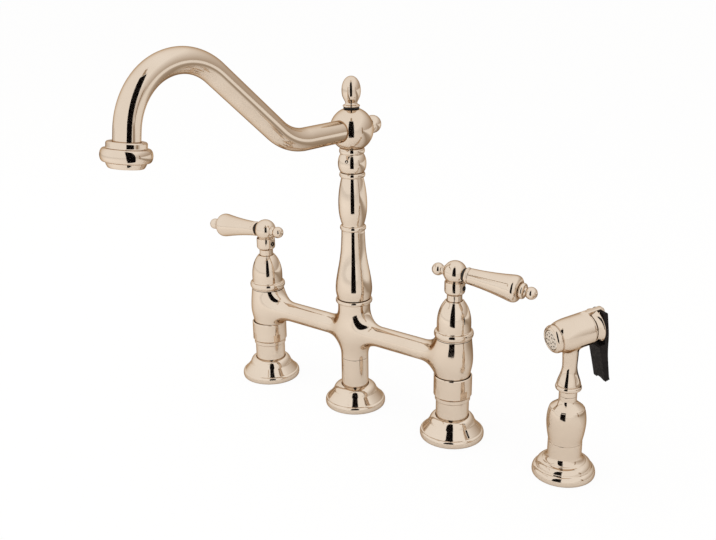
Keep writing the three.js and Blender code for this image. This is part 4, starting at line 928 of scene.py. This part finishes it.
former_low, former_high = -13.4, -3.3
former = turned(outline((0, -13.2), (8.3, -13.2), (8.8, former_low), (9.5, former_low),
        (9.5, former_high), (0, former_high)))
for count, circle in ((6, 3.0), (12, 6.3)):
    former = drilled(former, count, circle, 0.9, former_low, former_high, acetal)
finished("aerator_insert", placed(former, *to_outlet), "spout", acetal, "white_acetal")


# Sprayer holder and hose coupling. A stepped bell with a tall sleeve, on a wide threaded shank, is
# open all the way for the hose; the hose's brass coupling and the grip's tail guide the sprayer in
# it.

sprayer_x, y, foot, top = axis_of("sprayer_holder")
bore = 10.2
sleeve_height, sleeve_bore = 8.8, 11.8    # the sleeve rises this far above the seat of the sprayer
bell = turned(outline((bore, foot), (11.8, foot), (12.4, foot + 1), (12.4, 0), (22.4, 0),
        (24.1, 0, 24.1, 2.6), (24.0, 6.0, 21.8, 7.0), (21.3, 7.2), (21.0, 7.8),
        (20.6, 11.0, 17.2, 12.0), (16.6, 12.1), (16.1, 12.6), (13.7, 13.4, 13.0, 17.5),
        (13.0, top + sleeve_height), (sleeve_bore, top + sleeve_height), (sleeve_bore, top),
        (bore, top)))
holder = threaded(bell, thread_radii["sprayer"], foot + THREAD_START, THREAD_END)
finished("sprayer_holder", placed(holder, shift(sprayer_x, y)), "bridge")

x, y, foot, top = axis_of("hose_coupling")
high = top - foot
nipple = turned(outline((4, 0), (6.4, 0), (7.4, 1.5), (7.4, 6), (6.7, 7), (6.7, 8), (7.4, 9),
        (7.4, high - 10.4), (9.6, high - 8.4), (9.6, high - 6.3), (5.8, high - 6.3), (5.8, high),
        (4, high)))
finished("hose_coupling", placed(nipple, shift(x, y, foot)), "hose_end", brass, "raw_brass")


# Sprayer grip and stem. The grip is a vase with a stepped shoulder, the stem a ring over a little
# bell, both turned from brass tube and polished.

x, y, foot, top = axis_of("sprayer_grip")
high = top - foot
lip = sleeve_height - 0.27
vase_grip = turned(outline(
    (6.1, -0.2), (11.2, -0.2), (11.5, 0.2), (11.5, lip), (12.9, lip), (12.9, lip + 0.6),
    (13.0, 11.5, 14.4, 15, 14.9, 23.5), (15.1, 28, 14.5, 32.3, 13.6, 35.2),
    (13.4, 35.9, 13.3, 36.1), (13.0, 36.3), (12.7, 36.9), (9.2, 39.6),
    (8.0, 40.6, 6.8, 41.6, 6.8, 43.4), (6.8, high), (4, high), (4, 6), (6.1, 6)))
finished("sprayer_grip", placed(vase_grip, shift(x, y, foot)), "sprayer")

x, y, foot, top = axis_of("sprayer_stem")
high = top - foot
ring_foot = 4.7
neck = turned([*outline((4, -0.2), (6.8, -0.2), (6.8, 3.4), (6.9, 4.2, 7.6, 4.6, 8.6, ring_foot)),
        *bead(8.8, 9.9, ring_foot + 0.1, ring_foot + 3.7),
        *outline((8.8, ring_foot + 3.9), (9.2, ring_foot + 4.4),
        (8.3, ring_foot + 9.4, 5.6, ring_foot + 13.2, 5.6, ring_foot + 19.4),
        (5.6, ring_foot + 23, 5.9, ring_foot + 25, 5.9, ring_foot + 28), (5.9, high), (4, high))])
finished("sprayer_stem", placed(neck, shift(x, y, foot)), "sprayer")


# Sprayer head. A cast barrel grows out of the stem, with a bar on its back that ends in the
# trigger's hinge eye; the nose holds a drilled spray face over a rubber jet plate, and a flared cap
# behind a groove closes the rear.

HEAD_TILT = 8          # degrees that the barrel looks up
HEAD_TURN = -119.3     # degrees from the bridge's line to the nose
head_z = 116.2
root_radius = 5.95     # of the stem where it grows into the barrel
barrel_rear, barrel_front = -13.7, 13.2
pin_x, pin_z, eye_radius = -25.5, 8.4, 2.8
to_head = (turn_about("Y", HEAD_TILT), turn_about("Z", HEAD_TURN), shift(sprayer_x, 0, head_z))
barrel_outline = outline((11.6, barrel_rear), (12.3, barrel_rear + 0.1, 12.6, barrel_rear + 0.4,
        12.6, -12.6), (12.6, 0), (12.6, 5.9, 12.2, 10.6, 10.6, barrel_front), (10.3, 14), steps=24)
barrel_radius = radius_along(barrel_outline)
upright = Vector((0, 0, 1))
upright.rotate(turn_about("Y", -HEAD_TILT).to_3x3())
bar_middle, bar_half, bar_round = np.array((-18, 0, 11.2)), np.array((6, 1.4, 1)), 1.1
root_fillet, bar_fillet = 3.5, 2.2


def head_field(p):
    """Distance outside the barrel, the stem's root and the front of the hinge bar."""
    x, y, z = p.T
    barrel = np.hypot(y, z) - barrel_radius(x)
    along = p @ np.array(upright)
    root = np.sqrt(np.maximum(np.sum(p ** 2, axis=1) - along ** 2, 0)) - root_radius
    root = np.maximum(root, along + 4)
    bar = np.sqrt(np.sum(np.maximum(np.abs(p - bar_middle) - bar_half, 0) ** 2, axis=1)) - bar_round
    return melted(melted(barrel, root, root_fillet), bar, bar_fillet)


rough_barrel = placed(closed_rod([(12.6, -15), (12.6, 4), (11.8, 10), (10.3, 15)]), along_x)
rough_root = placed(closed_rod([(root_radius, -22), (root_radius, -4)]),
    turn_about("Y", -HEAD_TILT))
barrel = cast([rough_barrel, rough_root], head_field, cell=0.5, cuts=[
    ((barrel_rear, 0, 0), (-1, 0, 0), lambda place: place.x < -10),
    ((barrel_front, 0, 0), (1, 0, 0), lambda place: place.x > 10),
    (-17.5 * upright, -upright, lambda place: place.z < -15)])
finished("sprayer_head", placed(barrel, *to_head), "sprayer", shade=False)


def plate_across(side_view, width):
    """A plate across the head, in millimetres: its side view runs along X and Z."""
    plate = bmesh.new()
    near, far = ([plate.verts.new((x, y, z)) for x, z in side_view]
        for y in (-width / 2, width / 2))
    plate.faces.new(near)
    plate.faces.new(far)
    for k in range(len(near)):
        plate.faces.new((near[k - 1], near[k], far[k], far[k - 1]))
    bmesh.ops.recalc_face_normals(plate, faces=plate.faces)
    return mesh_from(plate, "plate")


def carved(mesh, *tools, edge):
    """The mesh with closed tools cut out of it and its hard edges rounded."""
    rounding = {"width": edge, "segments": 3, "limit_method": "ANGLE",
        "angle_limit": math.radians(HARD_EDGE)}
    return cut(mesh, *tools, then=[("BEVEL", rounding)])


def slot_tool(low, high, width):
    """A block to cut a slot with, between two corners of its side view."""
    return plate_across([low, (high[0], low[1]), high, (low[0], high[1])], width)


nose = placed(turned(outline((7.6, 12.4), (7.6, 18.3), (8.0, 18.7),
        (8.9, 18.65, 10.7, 17.6, 10.75, 15.2), (10.7, 14.5), (10.2, 13.8), (10.2, 12.4))), along_x)
collar = placed(turned(outline((8.6, -15.2), (10.8, -15.2), (10.8, barrel_rear + 1),
        (8.6, barrel_rear + 1))), along_x)
bar_view = [(-12.6, 10.2), (-12.6, 13.1), (-13.8, 13.4),
    *outline((pin_x, 13.4), (pin_x - 2.4, 13.2, pin_x - eye_radius, 11, pin_x - eye_radius, pin_z),
        steps=10)]
bar_view += [(pin_x + eye_radius * math.cos(a), pin_z + eye_radius * math.sin(a))
             for a in (math.radians(180 + 15 * k) for k in range(1, 13))]
bar_view.append((pin_x + eye_radius, 10.2))
bar = carved(plate_across(bar_view, width=5), edge=0.9)
added("sprayer_head_trim", placed(fused(nose, collar, bar), *to_head), "sprayer")

satin = node_material("satin_spray_face", (0.86, 0.80, 0.72), 1.0, 0.38)
tinted(satin, noise(satin, 300), (0.82, 0.76, 0.68), (0.90, 0.85, 0.78))
uneven(satin, noise(satin, 900), 0.32, 0.45)
jet_rings = ((5, 2.7, 0.7), (9, 5.3, 0.72))    # how many, and the radii of ring and hole
face_back, face_front = 16.2, 18.3
face = turned(outline((0, face_back), (7.3, face_back), (7.3, 18.0), (6.9, 18.2), (0, face_front)))
for count, circle, hole in jet_rings:
    face = drilled(face, count, circle, hole, face_back, face_front, satin)
finished("spray_rose", placed(face, along_x, *to_head), "sprayer", satin, "polished_nickel")

jets = [turned(outline((0, 15.6), (7.2, 15.6), (7.2, 16.1), (0, 16.1)))]
for count, circle, hole in jet_rings:
    jet = turned(outline((0, 16), (hole - 0.05, 16), (hole - 0.08, 17.2), (0, 17.2)), ease=0.1)
    jets += [placed(jet, shift(circle), turn_about("Z", 360 * k / count)) for k in range(count)]
added("spray_jet_plate", placed(fused(*jets), along_x, *to_head), "sprayer", rubber, "black_rubber")

lid = turned(outline((2.9, -20.9), (12.2, -20.9), (13.1, -20.8, 13.1, -19.9),
        (12.1, -19.0, 11.5, -17.6, 11.4, -15.8), (11.1, -15.5), (2.9, -15.5)))
lid = carved(placed(lid, along_x), slot_tool((-22, 9.9), (-14, 15), width=5.6), edge=0.3)
finished("sprayer_cap", placed(lid, *to_head), "sprayer")

pin = turned(outline((0, -6.5), (1.0, -6.5), (1.3, -6.2), (1.3, 6.2), (1.0, 6.5), (0, 6.5)),
    ease=0.05)
at_eye = (turn_about("X", 90), shift(pin_x, 0, pin_z), *to_head)
finished("trigger_pin", placed(pin, *at_eye), "sprayer", spring_steel, "spring_steel")
painted("plunger_spring", spring_steel)
painted("trigger_plunger", acetal)


# Trigger. A long moulded paddle of matt black plastic, slotted round the hinge eye, deepest under
# the barrel where the fingers pull, with a notch in its foot.

plastic = node_material("black_plastic_finish", (0.012, 0.009, 0.009), 0.0, 0.5)
plastic.node_tree.nodes["Principled BSDF"].inputs["Specular IOR Level"].default_value = 0.12
tinted(plastic, noise(plastic, 240), (0.007, 0.005, 0.005), (0.013, 0.010, 0.010))
uneven(plastic, noise(plastic, 900), 0.42, 0.6)
grained(plastic, noise(plastic, 3200), 0.00008, 0.5)

paddle_top, paddle_foot = pin_z + 2.5, -45.6
paddle_front, paddle_back = pin_x + 1.9, pin_x - 1.9
side_view = outline((paddle_front, pin_z + 0.5), (paddle_front, paddle_top, pin_x, paddle_top),
    (paddle_back, paddle_top, paddle_back, pin_z + 0.5), (paddle_back, -3.6),
    (paddle_back, -11.6, pin_x, -17.6, pin_x, -27.6), (pin_x, -40.6), (pin_x, -43.6, -26.1, -44.8),
    (-22.2, paddle_foot), (-21.6, -44.4), (-20.4, -30.6, -18.6, -15.7), (-19.6, -14.5),
    (paddle_front, -14.5), steps=8)
notch_tool = placed(closed_rod([(4, -32), (4, -14)]), along_x, Matrix.Diagonal((1, 1, 0.5, 1)),
    shift(z=paddle_foot))
hinge_slot = slot_tool((pin_x - 5, pin_z - eye_radius - 0.4), (pin_x + 5, paddle_top + 1),
    width=5.6)
paddle = carved(plate_across(side_view, width=14), notch_tool, hinge_slot, edge=0.7)
finished("trigger", placed(paddle, *to_head), "trigger", plastic, "black_plastic")


# Studio. A white table under a bright warm tent. The metal also shows painted reflections that only
# it sees, glowing where no lamp is: the dark gap in front where the picture is taken from, a darker
# seam at the right, a brown band painted on the table behind and then a bright table behind it.

PICTURE_WIDTH, SENSOR_WIDTH = 716, 36    # in pixels and in millimetres
focal_pixels = 964.44
view_azimuth, view_elevation, view_roll = (math.radians(a) for a in (37.96, 18.846, -0.727))
view_target = Vector((4.678, 0, 125.48)) * MM
view_distance = 821.05 * MM

afar = math.cos(view_elevation)
back = Vector((math.sin(view_azimuth) * afar, -math.cos(view_azimuth) * afar,
        math.sin(view_elevation)))
level = Vector((math.cos(view_azimuth), math.sin(view_azimuth), 0))
up = back.cross(level)
right = level * math.cos(view_roll) + up * math.sin(view_roll)
up = up * math.cos(view_roll) - level * math.sin(view_roll)
camera = bpy.data.cameras.new("camera")
camera.sensor_width = SENSOR_WIDTH
camera.lens = focal_pixels / PICTURE_WIDTH * SENSOR_WIDTH
viewer = linked("camera", camera)
viewer.matrix_world = Matrix((right, up, back)).transposed().to_4x4()
viewer.matrix_world.translation = view_target + back * view_distance
bpy.context.scene.camera = viewer


def panel(name, corners, material):
    """A flat sheet of the studio."""
    mesh = bpy.data.meshes.new(name)
    mesh.from_pydata(corners, [], [tuple(range(len(corners)))])
    mesh.materials.append(material)
    sheet = linked(name, mesh)
    return sheet


white = node_material("white_table_painted_reflection", (0.86, 0.85, 0.84), 0.0, 0.9)
tree = white.node_tree
table_shader = tree.nodes["Principled BSDF"]
table_shader.inputs["Specular IOR Level"].default_value = 0.0
paper_white = 0.93     # how much of the table's picture is even white; the rest holds the shadow
glow = new_node(tree, "ShaderNodeEmission")
rays = new_node(tree, "ShaderNodeLightPath")
share = new_node(tree, "ShaderNodeMath", {1: paper_white}, operation="MULTIPLY")
blend = new_node(tree, "ShaderNodeMixShader")
# Painted reflection: glossy rays see the table glow brown, most in a band just behind the object.
spot = new_node(tree, "ShaderNodeTexCoord")
split = new_node(tree, "ShaderNodeSeparateXYZ")
depth = new_node(tree, "ShaderNodeMapRange", {"From Min": -1.0, "From Max": 1.0})
shares = ((0, 0), (0.2, 0.03), (0.39, 0.11), (0.52, 0.15), (0.62, 0.85), (0.72, 0.7), (0.82, 0.06),
    (1, 0))
shade = colour_ramp(tree, *((place, (amount, amount, amount)) for place, amount in shares))
for_metal = new_node(tree, "ShaderNodeMath", operation="MULTIPLY")
painted_reflection_brown = new_node(tree, "ShaderNodeEmission", {"Color": (0.28, 0.20, 0.12, 1)})
painted_reflection_mix = new_node(tree, "ShaderNodeMixShader")
wired(tree, (rays, "Is Camera Ray", share, 0), (share, "Value", blend, "Fac"),
    (table_shader, "BSDF", blend, 1), (glow, "Emission", blend, 2),
    (spot, "Object", split, "Vector"), (split, "Y", depth, "Value"),
    (depth, "Result", shade, "Fac"), (shade, "Color", for_metal, 0),
    (rays, "Is Glossy Ray", for_metal, 1), (for_metal, "Value", painted_reflection_mix, "Fac"),
    (blend, "Shader", painted_reflection_mix, 1), (painted_reflection_brown, "Emission", painted_reflection_mix, 2),
    (painted_reflection_mix, "Shader", tree.nodes["Material Output"], "Surface"))
reach = 12
panel("table", [(-reach, -reach, 0), (reach, -reach, 0), (reach, reach, 0), (-reach, reach, 0)],
    white)


def glowing(name, colour):
    """A material that only gives light."""
    material = bpy.data.materials.new(name)
    material.use_nodes = True
    tree = material.node_tree
    tree.nodes.remove(tree.nodes["Principled BSDF"])
    light = new_node(tree, "ShaderNodeEmission", {"Color": (*colour, 1)})
    wired(tree, (light, "Emission", tree.nodes["Material Output"], "Surface"))
    return material


def reflected(name, corners, colour):
    """A sheet of light or dark that only the metal sees."""
    sheet = panel(name, corners, glowing(name, colour))
    for sight in ("camera", "diffuse", "shadow", "transmission"):
        setattr(sheet, f"visible_{sight}", False)


def standing_card(name, azimuth, distance, width, low, high, colour):
    """An upright card for the metal; the azimuth is in degrees from the front to the right."""
    angle = math.radians(azimuth)
    outward = Vector((math.sin(angle), -math.cos(angle), 0))
    aside = Vector((math.cos(angle), math.sin(angle), 0)) * (width / 2)
    middle = outward * distance
    corners = ((-1, low), (1, low), (1, high), (-1, high))
    reflected(name, [middle + aside * side + Vector((0, 0, z)) for side, z in corners], colour)


off_table = 0.005      # what only the metal sees stays clear of the table
# Painted reflections: glowing cards that only the metal sees, standing in for what is round it.
standing_card("dark_gap_painted_reflection", azimuth=36, distance=0.36, width=0.19, low=off_table, high=0.68,
              colour=(0.003, 0.002, 0.002))
standing_card("brown_gap_painted_reflection", azimuth=36, distance=0.37, width=0.10, low=0.72, high=1.2,
    colour=(0.40, 0.30, 0.20))
standing_card("side_seam_painted_reflection", azimuth=95, distance=0.9, width=0.08, low=off_table, high=0.45,
              colour=(0.30, 0.20, 0.12))
# A painted reflection: a glowing sheet that only the metal sees, for a bright table far behind.
far_half, far_from, far_to, far_z = 3, 0.6, 6, 0.003
reflected("far_sheet_painted_reflection", [(-far_half, far_from, far_z), (far_half, far_from, far_z),
        (far_half, far_to, far_z), (-far_half, far_to, far_z)], (0.95, 0.93, 0.90))

world = bpy.data.worlds.new("tent")
bpy.context.scene.world = world
world.use_nodes = True
tree = world.node_tree
tent = tree.nodes["Background"]
direction = new_node(tree, "ShaderNodeTexCoord")
toward = new_node(tree, "ShaderNodeVectorMath", {1: (-0.27, -0.60, 0.75)}, operation="DOT_PRODUCT")
level_out = new_node(tree, "ShaderNodeMapRange", {"From Min": -1})
tones = colour_ramp(tree, (0.12, (0.42, 0.33, 0.25)), (0.56, (1.0, 0.985, 0.965)))
bright = new_node(tree, "ShaderNodeBackground", {"Color": (1, 1, 1, 1)})
rays = new_node(tree, "ShaderNodeLightPath")
either = new_node(tree, "ShaderNodeMixShader")
wired(tree, (direction, "Generated", toward, 0), (toward, "Value", level_out, "Value"),
    (level_out, "Result", tones, "Fac"), (tones, "Color", tent, "Color"),
    (rays, "Is Camera Ray", either, "Fac"), (tent, "Background", either, 1),
    (bright, "Background", either, 2), (either, "Shader", tree.nodes["World Output"], "Surface"))

lamp = bpy.data.lights.new("soft_box", "AREA")
lamp.shape = "RECTANGLE"
lamp.size = 1.6
lamp.size_y = 1.2
lamp.energy = 9
soft_box = linked("soft_box", lamp)
soft_box.location = (-0.5, -0.5, 1.5)
aim = Vector((0, 0, 0.1)) - soft_box.location
soft_box.rotation_euler = aim.to_track_quat("-Z", "Y").to_euler()
soft_box.visible_glossy = False

bpy.context.scene.view_settings.view_transform = "Standard"
